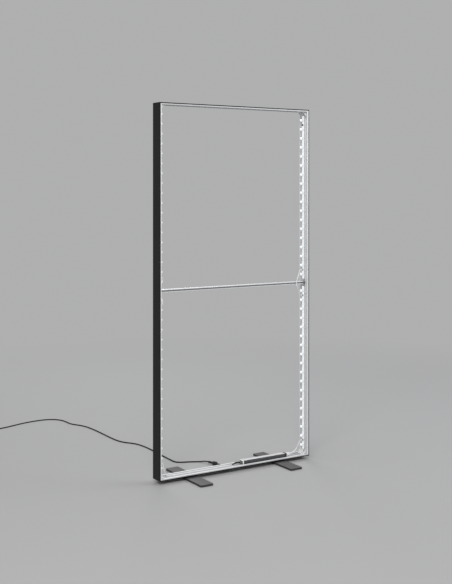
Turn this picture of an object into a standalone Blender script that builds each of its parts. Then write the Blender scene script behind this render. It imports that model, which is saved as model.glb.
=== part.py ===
"""Free-standing double-sided light frame, one metre class by two metres.

Mitred aluminium rails with a print groove on both faces, four edge-lit lens bars, a driver
in the bottom rail, a crossbar and two swivel feet. Metres, +Z up, the front faces -Y.
"""
import math

import bmesh
import bpy
import numpy as np
from mathutils import Vector

# Overall sizes
FRAME_WIDTH = 0.980
FRAME_HEIGHT = 2.000
FRAME_DEPTH = 0.078
GAP = 0.0003
OVERRUN = 0.002

# Rail section, u in from the outer face and v across the depth
SKIN = 0.0018
WEB = 0.0022
GROOVE_WIDTH = 0.0032
GROOVE_DEPTH = 0.0120
GROOVE_NIB = 0.0004
BOX_RISE = 0.0115
BOX_DEPTH = 0.0130
BOX_WALL = 0.0014
TRACK_RISE = 0.0070
TRACK_WIDTH = 0.0192
TRACK_WALL = 0.0016
TRACK_MOUTH = 0.0080
RAIL_EDGE = 0.0005

# Corner brackets and splices
BRACKET_PLATE = 0.0025
BRACKET_RAIL_LEG = 0.036
BRACKET_RIB_LEG = 0.042
BRACKET_RIB = 0.0025
BRACKET_CLEARANCE = 0.002
BRACKET_HOLE_RADIUS = 0.003
SPLICE_LENGTH = 0.140
SPLICE_CLEARANCE = 0.0003
SPLICE_THICKNESS = 0.0026

# Crossbar and its end fittings
CROSSBAR_HEIGHT = 0.016
CROSSBAR_DEPTH = 0.024
CROSSBAR_WALL = 0.0018
CROSSBAR_GROOVE_WIDTH = 0.007
CROSSBAR_GROOVE_DEPTH = 0.003
CROSSBAR_EDGE = 0.0012
FITTING_LENGTH = 0.0145
FITTING_EDGE = 0.001
SPIGOT_LENGTH = 0.030
SPIGOT_CLEARANCE = 0.0004
TONGUE_CLEARANCE = 0.0004

# Lens bars
BAR_INNER_SETBACK = 0.02175
BAR_OUTER_SETBACK = 0.03325
LENS_COUNT = 18
CARRIER_WIDTH = 0.022
CARRIER_HEIGHT = 0.008
CARRIER_WALL = 0.0017
CARRIER_SEAT = 0.001
BOARD_THICKNESS = 0.0012
BOARD_PLAY = 0.0003
LENS_RADIUS = 0.0080
LENS_NECK_RADIUS = 0.0066
LENS_HEIGHT = 0.0202
LENS_SINK = 0.0004

# Sockets and plugs on the bars
SOCKET_SIZE = 0.009
SOCKET_HEIGHT = 0.005
SOCKET_WALL = 0.0014
SOCKET_FLOOR = 0.0015
PLUG_SIZE = 0.0078
PLUG_LENGTH = 0.0085
PLUG_PLAY = 0.0004
SMALL_EDGE = 0.0006

# Rounding of every lead's route
CORNER_CUTS = 5
CUT_SHARE = 0.25

# White leads between the bars and the driver
LEAD_DIAMETER = 0.0044
JUMPER_RIGHT_BULGE = 0.0449
JUMPER_LEFT_BULGE = 0.0090
JUMPER_CLEARANCE = 0.003
LEAD_CLEARANCE = 0.0006

# Driver in the bottom rail
DRIVER_LENGTH = 0.300
DRIVER_WIDTH = 0.030
DRIVER_HEIGHT = 0.022
DRIVER_INSET = 0.145
DRIVER_EDGE = 0.003
DRIVER_SEAM = 0.0008
DRIVER_CAP = 0.010
GLAND_RADIUS = 0.0052
GLAND_LENGTH = 0.009
JUNCTION_LENGTH = 0.022
JUNCTION_WIDTH = 0.018
JUNCTION_HEIGHT = 0.015
STRAP_WIDTH = 0.010
STRAP_THICKNESS = 0.0012
STRAP_FOOT = 0.0058
STRAP_INSET = 0.022

# Input lead, its slot in the rail's web, and the coupler on the floor behind the rail
INPUT_DIAMETER = 0.006
LEAD_SLOT_LENGTH = 0.027
LEAD_SLOT_PLAY = 0.0008
LEAD_SLOT_MARGIN = 0.0012
LEAD_SLOT_STEP = 0.0555
INPUT_ROUTE_SHARES = [
    (3.95, 0.660, 0.190), (6.47, 0.486, 0.079), (7.05, 0.286, 0.030), (6.02, 0.103, 0.048),
    (3.88, -0.004, 0.127), (1.43, -0.010, 0.275), (0.30, 0.0, 0.387), (-1.70, 0.0, 0.722),
    (-3.72, -0.110, 0.979),
]
COUPLER_RADIUS = 0.0110
COUPLER_HALF_LENGTH = 0.0436
COUPLER_SPIGOT = 0.004
COUPLER_GRIP = 0.026
COUPLER_GRIP_RADIUS = 0.0064
COUPLER_NECK = 0.004
COUPLER_NECK_RADIUS = 0.0055
COUPLER_RIM = 0.0076
COUPLER_BOOT = 0.0245
COUPLER_BOOT_RADIUS = 0.005
COUPLER_TURN = math.radians(-74.0)
COUPLER_SIDE_STEP = 0.0794
COUPLER_REACH = 0.0996

# Mains cord, its coil and plug
CORD_DIAMETER = 0.007
CORD_LIFT = 0.0002
COIL_TURNS_PER_LAYER = 2
COIL_STEPS = 24
COIL_PITCH = 0.0076
COIL_LAYER = 0.0080
COIL_MEAN_RADIUS = 0.0384
CORD_START_RISE = [(0.30, 0.12), (0.62, 0.42), (0.86, 0.82)]
CORD_FLOOR_ROUTE = [
    (-0.0829, 0.2326), (-0.1323, 0.2612), (-0.1819, 0.2777), (-0.2078, 0.3014), (-0.2066, 0.3504),
    (-0.2040, 0.4400), (-0.2000, 0.5200), (-0.1952, 0.5874), (-0.1948, 0.7048), (-0.2085, 0.7893),
    (-0.2648, 0.8677), (-0.2760, 0.9739), (-0.2735, 1.1322), (-0.2754, 1.2877), (-0.2899, 1.3878),
    (-0.3386, 1.4716), (-0.3400, 1.5400), (-0.3450, 1.6000), (-0.3750, 1.6550), (-0.4300, 1.6850),
    (-0.5200, 1.6850), (-0.6200, 1.6600), (-0.7200, 1.6200), (-0.7900, 1.6000),
]
COIL_CENTRE = (-0.8850, 1.6430)
TIE_THICKNESS = 0.001
TIE_WIDTH = 0.010
TIE_CLEARANCE = 0.0009
MAINS_PLUG_RADIUS = 0.0185
MAINS_PLUG_LENGTH = 0.034
MAINS_BOOT = 0.024
PIN_RADIUS = 0.0024
PIN_LENGTH = 0.019
PIN_SPACING = 0.019

# Feet
FOOT_LENGTH = 0.380
FOOT_WIDTH = 0.075
FOOT_THICKNESS = 0.012
FOOT_CORNER = 0.003
FOOT_EDGE = 0.0012
FOOT_SPACING = 0.580
SPACER_RADIUS = 0.028
SPACER_HEIGHT = 0.0054
SCREW_RADIUS = 0.004
SCREW_PLAY = 0.0004
SCREW_HEAD_RADIUS = 0.009
SCREW_HEAD_HEIGHT = 0.005
SCREW_HEX_RADIUS = 0.0035
SCREW_HEX_DEPTH = 0.0028
COUNTERBORE_PLAY = 0.001
COUNTERBORE_DEPTH = 0.0065

# Places that follow from the sizes
FRAME_LIFT = FOOT_THICKNESS + SPACER_HEIGHT + 2 * GAP
MIDDLE = FRAME_LIFT + FRAME_HEIGHT / 2
FACE = FRAME_DEPTH / 2
BOX_BACK = FACE - BOX_DEPTH
GROOVE_INNER = SKIN + GROOVE_WIDTH
SLOT_HALF = TRACK_WIDTH / 2 - TRACK_WALL
SLOT_ROOF = TRACK_RISE - TRACK_WALL
BAR_LENGTH = FRAME_HEIGHT / 2 - BAR_INNER_SETBACK - BAR_OUTER_SETBACK
LENS_PITCH = BAR_LENGTH / LENS_COUNT
CARRIER_SEAT_TOP = TRACK_RISE + GAP + CARRIER_HEIGHT
BOARD_FACE = CARRIER_SEAT_TOP - CARRIER_SEAT + GAP + BOARD_THICKNESS
SOCKET_FACE = BOARD_FACE + GAP + SOCKET_HEIGHT
PLUG_END = SOCKET_FACE + GAP + PLUG_LENGTH
SOCKET_NEAR = BAR_INNER_SETBACK + LENS_PITCH
SOCKET_FAR = BAR_INNER_SETBACK + BAR_LENGTH - LENS_PITCH
FITTING_END = TRACK_RISE + GAP + FITTING_LENGTH
DRIVER_RIGHT = FRAME_WIDTH / 2 - DRIVER_INSET
DRIVER_LEFT = DRIVER_RIGHT - DRIVER_LENGTH
DRIVER_BASE = FRAME_LIFT + TRACK_RISE + GAP
DRIVER_AXIS = DRIVER_BASE + DRIVER_HEIGHT / 2
CHANNEL_FLOOR = FRAME_LIFT + WEB
LEAD_SLOT_WIDTH = INPUT_DIAMETER + 2 * LEAD_SLOT_PLAY
LEAD_SLOT_LANE = TRACK_WIDTH / 2 + LEAD_SLOT_MARGIN + LEAD_SLOT_WIDTH / 2
LEAD_SLOT_MIDDLE = DRIVER_LEFT - LEAD_SLOT_STEP


def clear_scene():
    for old in list(bpy.data.objects):
        bpy.data.objects.remove(old)


def material(name, color, roughness, metallic):
    made = bpy.data.materials.new(name)
    made.use_nodes = True
    shader = made.node_tree.nodes["Principled BSDF"]
    shader.inputs["Base Color"].default_value = (*color, 1)
    shader.inputs["Roughness"].default_value = roughness
    shader.inputs["Metallic"].default_value = metallic
    return made


def outward(bm):
    bmesh.ops.recalc_face_normals(bm, faces=bm.faces)
    if bm.calc_volume(signed=True) < 0:
        bmesh.ops.reverse_faces(bm, faces=bm.faces)
    return bm


def prism(loops, low, high):
    """Closed solid over flat outlines, outer one first; low and high give each end's height."""
    bm = bmesh.new()
    rims = [[], []]
    for loop in loops:
        ends = [[bm.verts.new((x, y, end(x, y))) for x, y in loop] for end in (low, high)]
        for i in range(len(loop)):
            j = (i + 1) % len(loop)
            bm.faces.new((ends[0][i], ends[0][j], ends[1][j], ends[1][i]))
            for rim, ring in zip(rims, ends):
                rim.append(bm.edges.get((ring[i], ring[j])))
    for rim in rims:
        bmesh.ops.triangle_fill(bm, edges=rim, use_beauty=True)
    return outward(bm)


def straight(loops, length):
    return prism(loops, lambda x, y: 0, lambda x, y: length)


def rounded(half_x, half_y, radius, steps):
    """Points of a rounded rectangle whose flats lie at the half sizes; a circle if all are equal."""
    turn = math.pi / 2 / steps
    reach = radius / math.cos(turn / 2)
    points = []
    for quarter in range(4):
        sx = 1 if quarter in (0, 3) else -1
        sy = 1 if quarter in (0, 1) else -1
        for step in range(steps):
            angle = quarter * math.pi / 2 + (step + 0.5) * turn
            points.append((sx * (half_x - radius) + reach * math.cos(angle),
                           sy * (half_y - radius) + reach * math.sin(angle)))
    return points


def loft(rings, steps=3, tube=False):
    """Skin over level rounded rectangles: height, half x, half y and corner radius of each."""
    bm = bmesh.new()
    hoops = [[bm.verts.new((x, y, height)) for x, y in rounded(half_x, half_y, radius, steps)]
             for height, half_x, half_y, radius in rings]
    pairs = list(zip(hoops, hoops[1:]))
    if tube:
        pairs.append((hoops[-1], hoops[0]))
    else:
        bm.faces.new(hoops[0])
        bm.faces.new(hoops[-1])
    for lower, upper in pairs:
        for i in range(len(lower)):
            j = (i + 1) % len(lower)
            bm.faces.new((lower[i], lower[j], upper[j], upper[i]))
    return outward(bm)


def turned(rings, steps=3, tube=False):
    """Turned piece from height and radius pairs."""
    return loft([(height, radius, radius, radius) for height, radius in rings], steps, tube)


def block(low, high):
    """Box between two corners."""
    outline = [(low[0], low[1]), (high[0], low[1]), (high[0], high[1]), (low[0], high[1])]
    return prism([outline], lambda x, y: low[2], lambda x, y: high[2])


def shifted(bm, offset):
    bmesh.ops.translate(bm, vec=Vector(offset), verts=bm.verts)
    return bm


def along_y(bm):
    """Turns a solid that was built up along Z to run back along Y, with its Y up as Z."""
    for vert in bm.verts:
        vert.co = Vector((vert.co.x, vert.co.z, vert.co.y))
    return outward(bm)


def along_x(bm):
    """Turns a solid that was built up along Z to run along X, its X across Y and its Y up Z."""
    for vert in bm.verts:
        vert.co = Vector((vert.co.z, vert.co.x, vert.co.y))
    return bm


def mesh_of(bm, name):
    mesh = bpy.data.meshes.new(name)
    bm.to_mesh(mesh)
    bm.free()
    return mesh


def joined(solids):
    """Several solids that don't touch, as one mesh for a boolean step."""
    whole = bmesh.new()
    for bm in solids:
        whole.from_mesh(mesh_of(bm, "piece"))
    return whole


def worked(base, *steps):
    """Mesh of a base after boolean steps, each an operation and the solid it works with."""
    body = bpy.data.objects.new("work", mesh_of(base, "work"))
    bpy.context.scene.collection.objects.link(body)
    tools = []
    for operation, solid in steps:
        tool = bpy.data.objects.new("tool", mesh_of(solid, "tool"))
        bpy.context.scene.collection.objects.link(tool)
        step = body.modifiers.new(operation.lower(), "BOOLEAN")
        step.operation = operation
        step.solver = "EXACT"
        step.object = tool
        tools.append(tool)
    graph = bpy.context.evaluated_depsgraph_get()
    mesh = bpy.data.meshes.new_from_object(body.evaluated_get(graph))
    for made in [body] + tools:
        bpy.data.objects.remove(made)
    return mesh


def place(name, mesh, finish, location=(0, 0, 0), rotation=(0, 0, 0), parent=None, smooth=False):
    """Adds a named piece, from a mesh or a bmesh."""
    if isinstance(mesh, bmesh.types.BMesh):
        mesh = mesh_of(mesh, name)
    if not mesh.materials:
        mesh.materials.append(finish)
    if smooth:
        mesh.shade_smooth()
        mesh.set_sharp_from_angle(angle=math.radians(35))
    piece = bpy.data.objects.new(name, mesh)
    piece.location = location
    piece.rotation_euler = rotation
    piece.parent = parent
    bpy.context.scene.collection.objects.link(piece)
    return piece


def station(name, location, rotation=(0, 0, 0)):
    """Empty that carries the pieces of one side, corner or foot."""
    empty = bpy.data.objects.new(name, None)
    empty.location = location
    empty.rotation_euler = rotation
    bpy.context.scene.collection.objects.link(empty)
    return empty


def smooth_points(route, count, reach):
    """Even points on the curve that cutting the route's corners leaves; its ends run straight."""
    points = np.array([tuple(point) for point in route], float)
    ends = [(points[0], points[1] - points[0]), (points[-1], points[-2] - points[-1])]
    for _ in range(CORNER_CUTS):
        cuts = [points[:-1] * (1 - CUT_SHARE) + points[1:] * CUT_SHARE,
                points[:-1] * CUT_SHARE + points[1:] * (1 - CUT_SHARE)]
        inner = np.stack(cuts, axis=1).reshape(-1, 3)[1:-1]
        points = np.concatenate([points[:1], inner, points[-1:]])
    run = np.concatenate([[0], np.cumsum(np.linalg.norm(np.diff(points, axis=0), axis=1))])
    even = np.linspace(2 * reach, run[-1] - 2 * reach, count - 4)
    inner = [[np.interp(s, run, points[:, k]) for k in range(3)] for s in even]
    first, last = ([start, start + reach * way / np.linalg.norm(way)] for start, way in ends)
    return np.array(first + inner + last[::-1]), run[-1]


def tube(name, points, diameter, finish, sides=2, parent=None):
    """Round lead or cord along points, its ends capped."""
    curve = bpy.data.curves.new(name, "CURVE")
    curve.dimensions = "3D"
    curve.bevel_depth = diameter / 2
    curve.bevel_resolution = sides
    curve.use_fill_caps = True
    spline = curve.splines.new("POLY")
    spline.points.add(len(points) - 1)
    for point, co in zip(spline.points, points):
        point.co = (*co, 1)
    curve.materials.append(finish)
    piece = bpy.data.objects.new(name, curve)
    piece.parent = parent
    bpy.context.scene.collection.objects.link(piece)
    return piece


def rail_section():
    """Outer outline and the two box chambers of the rail, as u and v."""
    nib = GROOVE_INNER - GROOVE_NIB
    half = [
        (WEB, SLOT_HALF), (SLOT_ROOF, SLOT_HALF), (SLOT_ROOF, TRACK_MOUTH / 2),
        (TRACK_RISE, TRACK_MOUTH / 2), (TRACK_RISE, TRACK_WIDTH / 2), (WEB, TRACK_WIDTH / 2),
        (WEB, BOX_BACK), (BOX_RISE - RAIL_EDGE, BOX_BACK), (BOX_RISE, BOX_BACK + RAIL_EDGE),
        (BOX_RISE, FACE - RAIL_EDGE), (BOX_RISE - RAIL_EDGE, FACE), (nib, FACE),
        (nib, FACE - 2 * GROOVE_NIB), (GROOVE_INNER, FACE - 3 * GROOVE_NIB),
        (GROOVE_INNER, FACE - GROOVE_DEPTH), (SKIN, FACE - GROOVE_DEPTH), (SKIN, FACE),
        (RAIL_EDGE, FACE), (0, FACE - RAIL_EDGE),
    ]
    outer = half + [(u, -v) for u, v in reversed(half)]
    low_u, high_u = GROOVE_INNER + BOX_WALL, BOX_RISE - BOX_WALL
    low_v, high_v = BOX_BACK + BOX_WALL, FACE - BOX_WALL
    chamber = [(low_u, low_v), (high_u, low_v), (high_u, high_v), (low_u, high_v)]
    return [outer, chamber, [(u, -v) for u, v in chamber]]


def rail(length, start_mitred, end_mitred):
    """Rail along Z with its outer face on the YZ plane; a mitred end leans in at 45 degrees."""
    seam = GAP / math.sqrt(2)
    return prism(rail_section(),
                 lambda u, v: u + seam if start_mitred else 0,
                 lambda u, v: length - (u + seam if end_mitred else 0))


def build_rails(aluminium):
    quarter = math.pi / 2
    half_rail = FRAME_HEIGHT / 2 - GAP / 2
    lower = mesh_of(rail(half_rail, True, False), "upright_lower")
    upper = mesh_of(rail(half_rail, False, True), "upright_upper")
    for side, x, turn in (("left", -FRAME_WIDTH / 2, 0), ("right", FRAME_WIDTH / 2, math.pi)):
        place(side + "_upright_lower", lower, aluminium, (x, 0, FRAME_LIFT), (0, 0, turn))
        place(side + "_upright_upper", upper, aluminium, (x, 0, MIDDLE + GAP / 2), (0, 0, turn))
    place("top_rail", rail(FRAME_WIDTH, True, True), aluminium,
          (-FRAME_WIDTH / 2, 0, FRAME_LIFT + FRAME_HEIGHT), (0, quarter, 0))
    hole_radius = SCREW_RADIUS + SCREW_PLAY
    holes = [shifted(along_x(turned([(-OVERRUN, hole_radius), (WEB + OVERRUN, hole_radius)])),
                     (0, 0, FRAME_WIDTH / 2 + side * FOOT_SPACING / 2)) for side in (-1, 1)]
    slot_half = (LEAD_SLOT_WIDTH / 2, LEAD_SLOT_LENGTH / 2, LEAD_SLOT_WIDTH / 2)
    slot = shifted(along_x(loft([(-OVERRUN, *slot_half), (WEB + OVERRUN, *slot_half)])),
                   (0, LEAD_SLOT_LANE, FRAME_WIDTH / 2 - LEAD_SLOT_MIDDLE))
    cut = worked(rail(FRAME_WIDTH, True, True), ("DIFFERENCE", joined(holes + [slot])))
    place("bottom_rail", cut, aluminium,
          (FRAME_WIDTH / 2, 0, FRAME_LIFT), (0, -quarter, 0))


def bracket():
    """Corner bracket: an angle plate on the tracks between two side ribs that stand on the webs."""
    seat = TRACK_RISE + GAP
    top = seat + BRACKET_PLATE
    foot = WEB + GAP
    upright_leg = BAR_OUTER_SETBACK - BRACKET_CLEARANCE
    rib_out = BOX_BACK - 2 * GAP
    rib_in = rib_out - BRACKET_RIB
    plate = [(seat, seat), (BRACKET_RAIL_LEG, seat), (BRACKET_RAIL_LEG, top),
             (top, top), (top, upright_leg), (seat, upright_leg)]
    rib = [(foot, foot), (BRACKET_RAIL_LEG, foot), (BRACKET_RAIL_LEG, top),
           (top, BRACKET_RIB_LEG), (foot, BRACKET_RIB_LEG)]
    inside = rib_in + BRACKET_RIB / 2
    body = along_y(prism([plate], lambda x, y: -inside, lambda x, y: inside))
    ribs = joined([along_y(prism([rib], lambda x, y: low, lambda x, y: low + BRACKET_RIB))
                   for low in (rib_in, -rib_out)])
    bore = [(seat - OVERRUN, BRACKET_HOLE_RADIUS), (top + OVERRUN, BRACKET_HOLE_RADIUS)]
    rail_hole = shifted(turned(bore), ((top + BRACKET_RAIL_LEG) / 2, 0, 0))
    upright_hole = shifted(along_x(turned(bore)), (0, 0, (top + upright_leg) / 2))
    return worked(body, ("UNION", ribs), ("DIFFERENCE", rail_hole), ("DIFFERENCE", upright_hole))


def build_corners(cast):
    shape = bracket()
    left, right = -FRAME_WIDTH / 2, FRAME_WIDTH / 2
    top = FRAME_LIFT + FRAME_HEIGHT
    corners = {
        "bottom_left": ((left, 0, FRAME_LIFT), (0, 0, 0)),
        "bottom_right": ((right, 0, FRAME_LIFT), (0, 0, math.pi)),
        "top_left": ((left, 0, top), (math.pi, 0, 0)),
        "top_right": ((right, 0, top), (0, math.pi, 0)),
    }
    for name, (location, rotation) in corners.items():
        place("corner_bracket_" + name, shape, cast, location, rotation)


def build_splices(sides, steel):
    half = SLOT_HALF - SPLICE_CLEARANCE
    low = WEB + GAP
    plate = block((low, -half, -SPLICE_LENGTH / 2), (low + SPLICE_THICKNESS, half, SPLICE_LENGTH / 2))
    mesh = mesh_of(plate, "upright_splice")
    for side, carrier in sides.items():
        place("upright_splice_" + side, mesh, steel, parent=carrier)


def crossbar_section():
    """Grooved tube: outline and chamber, x across the depth and y up."""
    half_x, half_y = CROSSBAR_DEPTH / 2, CROSSBAR_HEIGHT / 2
    mouth, floor = CROSSBAR_GROOVE_WIDTH / 2, CROSSBAR_DEPTH / 2 - CROSSBAR_GROOVE_DEPTH
    quarter = [(floor, mouth), (half_x, mouth), (half_x, half_y - CROSSBAR_EDGE),
               (half_x - CROSSBAR_EDGE, half_y)]
    right = [(x, -y) for x, y in reversed(quarter)] + quarter
    outer = right + [(-x, -y) for x, y in right]
    in_x, in_y = chamber_half()
    return [outer, [(in_x, in_y), (-in_x, in_y), (-in_x, -in_y), (in_x, -in_y)]]


def chamber_half():
    """Half sizes of the crossbar's chamber."""
    return (CROSSBAR_DEPTH / 2 - CROSSBAR_GROOVE_DEPTH - CROSSBAR_WALL,
            CROSSBAR_HEIGHT / 2 - CROSSBAR_WALL)


def build_crossbar(sides, aluminium, plastic):
    length = FRAME_WIDTH - 2 * (FITTING_END + GAP)
    bar = along_x(straight(crossbar_section(), length))
    place("crossbar", bar, aluminium, (-length / 2, 0, MIDDLE))
    depth, height = CROSSBAR_DEPTH / 2, CROSSBAR_HEIGHT / 2
    spigot_y, spigot_z = (half - SPIGOT_CLEARANCE for half in chamber_half())
    tongue = TRACK_MOUTH / 2 - TONGUE_CLEARANCE
    tongue_root = SLOT_ROOF + GAP
    seat = TRACK_RISE + GAP
    rings = [
        (tongue_root, tongue, tongue, SMALL_EDGE), (seat, tongue, tongue, SMALL_EDGE),
        (seat, depth, height, FITTING_EDGE), (FITTING_END, depth, height, FITTING_EDGE),
        (FITTING_END, spigot_y, spigot_z, SMALL_EDGE),
        (FITTING_END + SPIGOT_LENGTH - SMALL_EDGE, spigot_y, spigot_z, SMALL_EDGE),
        (FITTING_END + SPIGOT_LENGTH, spigot_y - SMALL_EDGE, spigot_z - SMALL_EDGE, SMALL_EDGE),
    ]
    mesh = mesh_of(along_x(loft(rings, steps=2)), "crossbar_end")
    for side, carrier in sides.items():
        place("crossbar_end_" + side, mesh, plastic, parent=carrier)


def carrier_section():
    """Lens bar carrier: hollow below, with a shallow seat for the board on top."""
    half = CARRIER_WIDTH / 2
    leg = half - CARRIER_WALL
    floor = CARRIER_HEIGHT - CARRIER_SEAT
    roof = floor - CARRIER_WALL
    side = [(0, half), (CARRIER_HEIGHT, half), (CARRIER_HEIGHT, leg), (floor, leg)]
    inside = [(roof, leg), (0, leg)]
    upper = side
    lower = [(u, -v) for u, v in reversed(side)]
    return [upper + lower + [(0, -leg), (roof, -leg)] + inside]


def lens(height):
    """Turned lens that widens from its neck and closes in a dome; it stands along u."""
    rise = LENS_HEIGHT + LENS_SINK
    body = [(0, LENS_RADIUS), (0.16 * rise, LENS_NECK_RADIUS),
            (0.62 * rise, LENS_RADIUS), (0.84 * rise, 0.74 * LENS_RADIUS), (rise, 0.22 * LENS_RADIUS)]
    return shifted(along_x(turned(body, steps=2)), (BOARD_THICKNESS - LENS_SINK, 0, height))


def build_lens_bars(sides, aluminium, light, plastic):
    half_board = CARRIER_WIDTH / 2 - CARRIER_WALL - BOARD_PLAY
    board = block((0, -half_board, GAP), (BOARD_THICKNESS, half_board, BAR_LENGTH - GAP))
    lenses = joined([lens((i + 0.5) * LENS_PITCH) for i in range(LENS_COUNT)])
    strip = worked(board, ("UNION", lenses))
    carrier = mesh_of(straight(carrier_section(), BAR_LENGTH), "led_carrier")
    outer, mouth = SOCKET_SIZE / 2, SOCKET_SIZE / 2 - SOCKET_WALL
    socket = mesh_of(along_x(loft([
        (0, outer, outer, SMALL_EDGE), (SOCKET_HEIGHT, outer, outer, SMALL_EDGE),
        (SOCKET_HEIGHT, mouth, mouth, SMALL_EDGE), (SOCKET_FLOOR, mouth, mouth, SMALL_EDGE)],
        steps=1)), "led_socket")
    for side, parent in sides.items():
        for end, start, socket_sign in (("upper", BAR_INNER_SETBACK, 1),
                                        ("lower", -BAR_INNER_SETBACK - BAR_LENGTH, -1)):
            place(f"led_carrier_{side}_{end}", carrier, aluminium,
                  (TRACK_RISE + GAP, 0, start), parent=parent)
            place(f"led_lens_strip_{side}_{end}", strip, light,
                  (BOARD_FACE - BOARD_THICKNESS, 0, start), parent=parent, smooth=True)
            for spot, height in (("near", SOCKET_NEAR), ("far", SOCKET_FAR)):
                place(f"led_socket_{side}_{end}_{spot}", socket, plastic,
                      (BOARD_FACE + GAP, 0, socket_sign * height), parent=parent)


def plug_shape():
    """Small plug that stands in a bar socket: nose, body and a round neck for the lead."""
    nose = SOCKET_SIZE / 2 - SOCKET_WALL - PLUG_PLAY
    body, neck = PLUG_SIZE / 2, 0.72 * LEAD_DIAMETER
    shoulder = SOCKET_FACE + GAP
    return along_x(loft([
        (SOCKET_FACE - SOCKET_HEIGHT + SOCKET_FLOOR + GAP, nose, nose, SMALL_EDGE),
        (shoulder, nose, nose, SMALL_EDGE), (shoulder, body, body, SMALL_EDGE),
        (shoulder + 0.6 * PLUG_LENGTH, body, body, SMALL_EDGE),
        (shoulder + 0.72 * PLUG_LENGTH, neck, neck, neck), (PLUG_END, neck, neck, neck)], steps=2))


def jumper_route(bulge, side_step):
    """Half loops from a socket out and round the crossbar, mirrored about the middle."""
    shares = [(1, 0, 0), (1, 0.10, 0), (0.94, 0.22, 0.02), (0.81, 0.31, 0.14), (0.54, 0.59, 0.55),
              (0.28, 0.88, 0.92), (0, 1, 1)]
    start = PLUG_END + GAP
    half = [(start + out * bulge, back * side_step, up * SOCKET_NEAR) for up, out, back in shares]
    return half + [(x, y, -z) for x, y, z in reversed(half[:-1])]


def tucked_route(bulge, side_step):
    """The same for the lead that hides behind the left upright's front box."""
    shares = [(1, 0, 0), (1, 0.42, 0), (0.93, 0.88, 0.03), (0.80, 1, 0.2), (0.5, 0.95, 0.75),
              (0.25, 0.8, 1), (0, 0.75, 1)]
    start = PLUG_END + GAP
    half = [(start + out * bulge, back * side_step, up * SOCKET_NEAR) for up, out, back in shares]
    return half + [(x, y, -z) for x, y, z in reversed(half[:-1])]


def build_jumpers(sides, white):
    plug = mesh_of(plug_shape(), "lead_plug")
    side_step = CROSSBAR_DEPTH / 2 + LEAD_DIAMETER / 2 + JUMPER_CLEARANCE
    routes = {"right": jumper_route(JUMPER_RIGHT_BULGE, side_step),
              "left": tucked_route(JUMPER_LEFT_BULGE, side_step)}
    for side, carrier in sides.items():
        for end, height in (("upper", SOCKET_NEAR), ("lower", -SOCKET_NEAR)):
            place(f"jumper_plug_{side}_{end}", plug, white, (0, 0, height), parent=carrier)
        points, _ = smooth_points(routes[side], 26, LEAD_DIAMETER)
        tube("jumper_" + side, points, LEAD_DIAMETER, white, parent=carrier)
        place("feed_plug_" + side, plug, white, (0, 0, -SOCKET_FAR), parent=carrier)


def build_feeds(white):
    """Leads from the lowest sockets down to the junction at the driver's right end."""
    feed_height = MIDDLE - SOCKET_FAR
    right, left = FRAME_WIDTH / 2, -FRAME_WIDTH / 2
    start = PLUG_END + GAP
    junction_right = DRIVER_RIGHT + GAP + GLAND_LENGTH + GAP + JUNCTION_LENGTH
    entry = DRIVER_AXIS
    shares = [(0.0, 0.0), (0.05, 0.0), (0.14, 0.08), (0.20, 0.23), (0.28, 0.44), (0.39, 0.64),
              (0.56, 0.83), (0.80, 0.96), (0.94, 1.0), (1.0, 1.0)]
    run = right - start - junction_right - GAP
    drop = feed_height - entry
    route = [(right - start - out * run, 0, feed_height - down * drop) for out, down in shares]
    points, _ = smooth_points(route, 24, LEAD_DIAMETER)
    tube("feed_lead_right", points, LEAD_DIAMETER, white)

    radius = LEAD_DIAMETER / 2
    on_web = CHANNEL_FLOOR + radius + LEAD_CLEARANCE
    over_strap = on_web + STRAP_THICKNESS + LEAD_CLEARANCE
    beside = BOX_BACK - radius - LEAD_CLEARANCE
    behind = (DRIVER_WIDTH / 2 + STRAP_THICKNESS + GAP + BOX_BACK) / 2
    junction_middle = DRIVER_RIGHT + GAP + GLAND_LENGTH + GAP + JUNCTION_LENGTH / 2
    bend = 3 * LEAD_DIAMETER
    strap = DRIVER_LEFT + STRAP_INSET
    fall_shares = [(0.0, 0.0, 0.0), (0.10, 0.0, 0.0), (0.22, 0.10, 0.1), (0.32, 0.28, 0.2),
                   (0.52, 0.60, 0.5), (0.74, 0.86, 0.8), (1.0, 1.0, 1.0)]
    landing = BRACKET_RIB_LEG + 2.7 * bend
    side = [(left + start + out * (landing - start), back * beside,
             feed_height - down * (feed_height - on_web)) for out, down, back in fall_shares]
    half_run = (DRIVER_LEFT - (left + landing)) / 2
    along = [
        (left + landing + half_run / 2, beside, on_web),
        (left + landing + half_run, beside, on_web),
        (DRIVER_LEFT - 2 * bend, beside, on_web),
        (strap - 2 * bend, behind, on_web), (strap, behind, over_strap),
        (strap + 2 * bend, behind, on_web),
        ((strap + junction_middle) / 2, behind, on_web),
        (junction_middle - 4 * bend, behind, on_web),
        (junction_middle - bend, behind, entry - 0.25 * JUNCTION_HEIGHT),
        (junction_middle - 0.25 * bend, behind - 0.3 * LEAD_DIAMETER, entry - 0.05 * JUNCTION_HEIGHT),
        (junction_middle, JUNCTION_WIDTH / 2 + 1.2 * LEAD_DIAMETER, entry),
        (junction_middle, JUNCTION_WIDTH / 2 + GAP, entry),
    ]
    points, _ = smooth_points(side + along, 70, LEAD_DIAMETER)
    tube("feed_lead_left", points, LEAD_DIAMETER, white)


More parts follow.
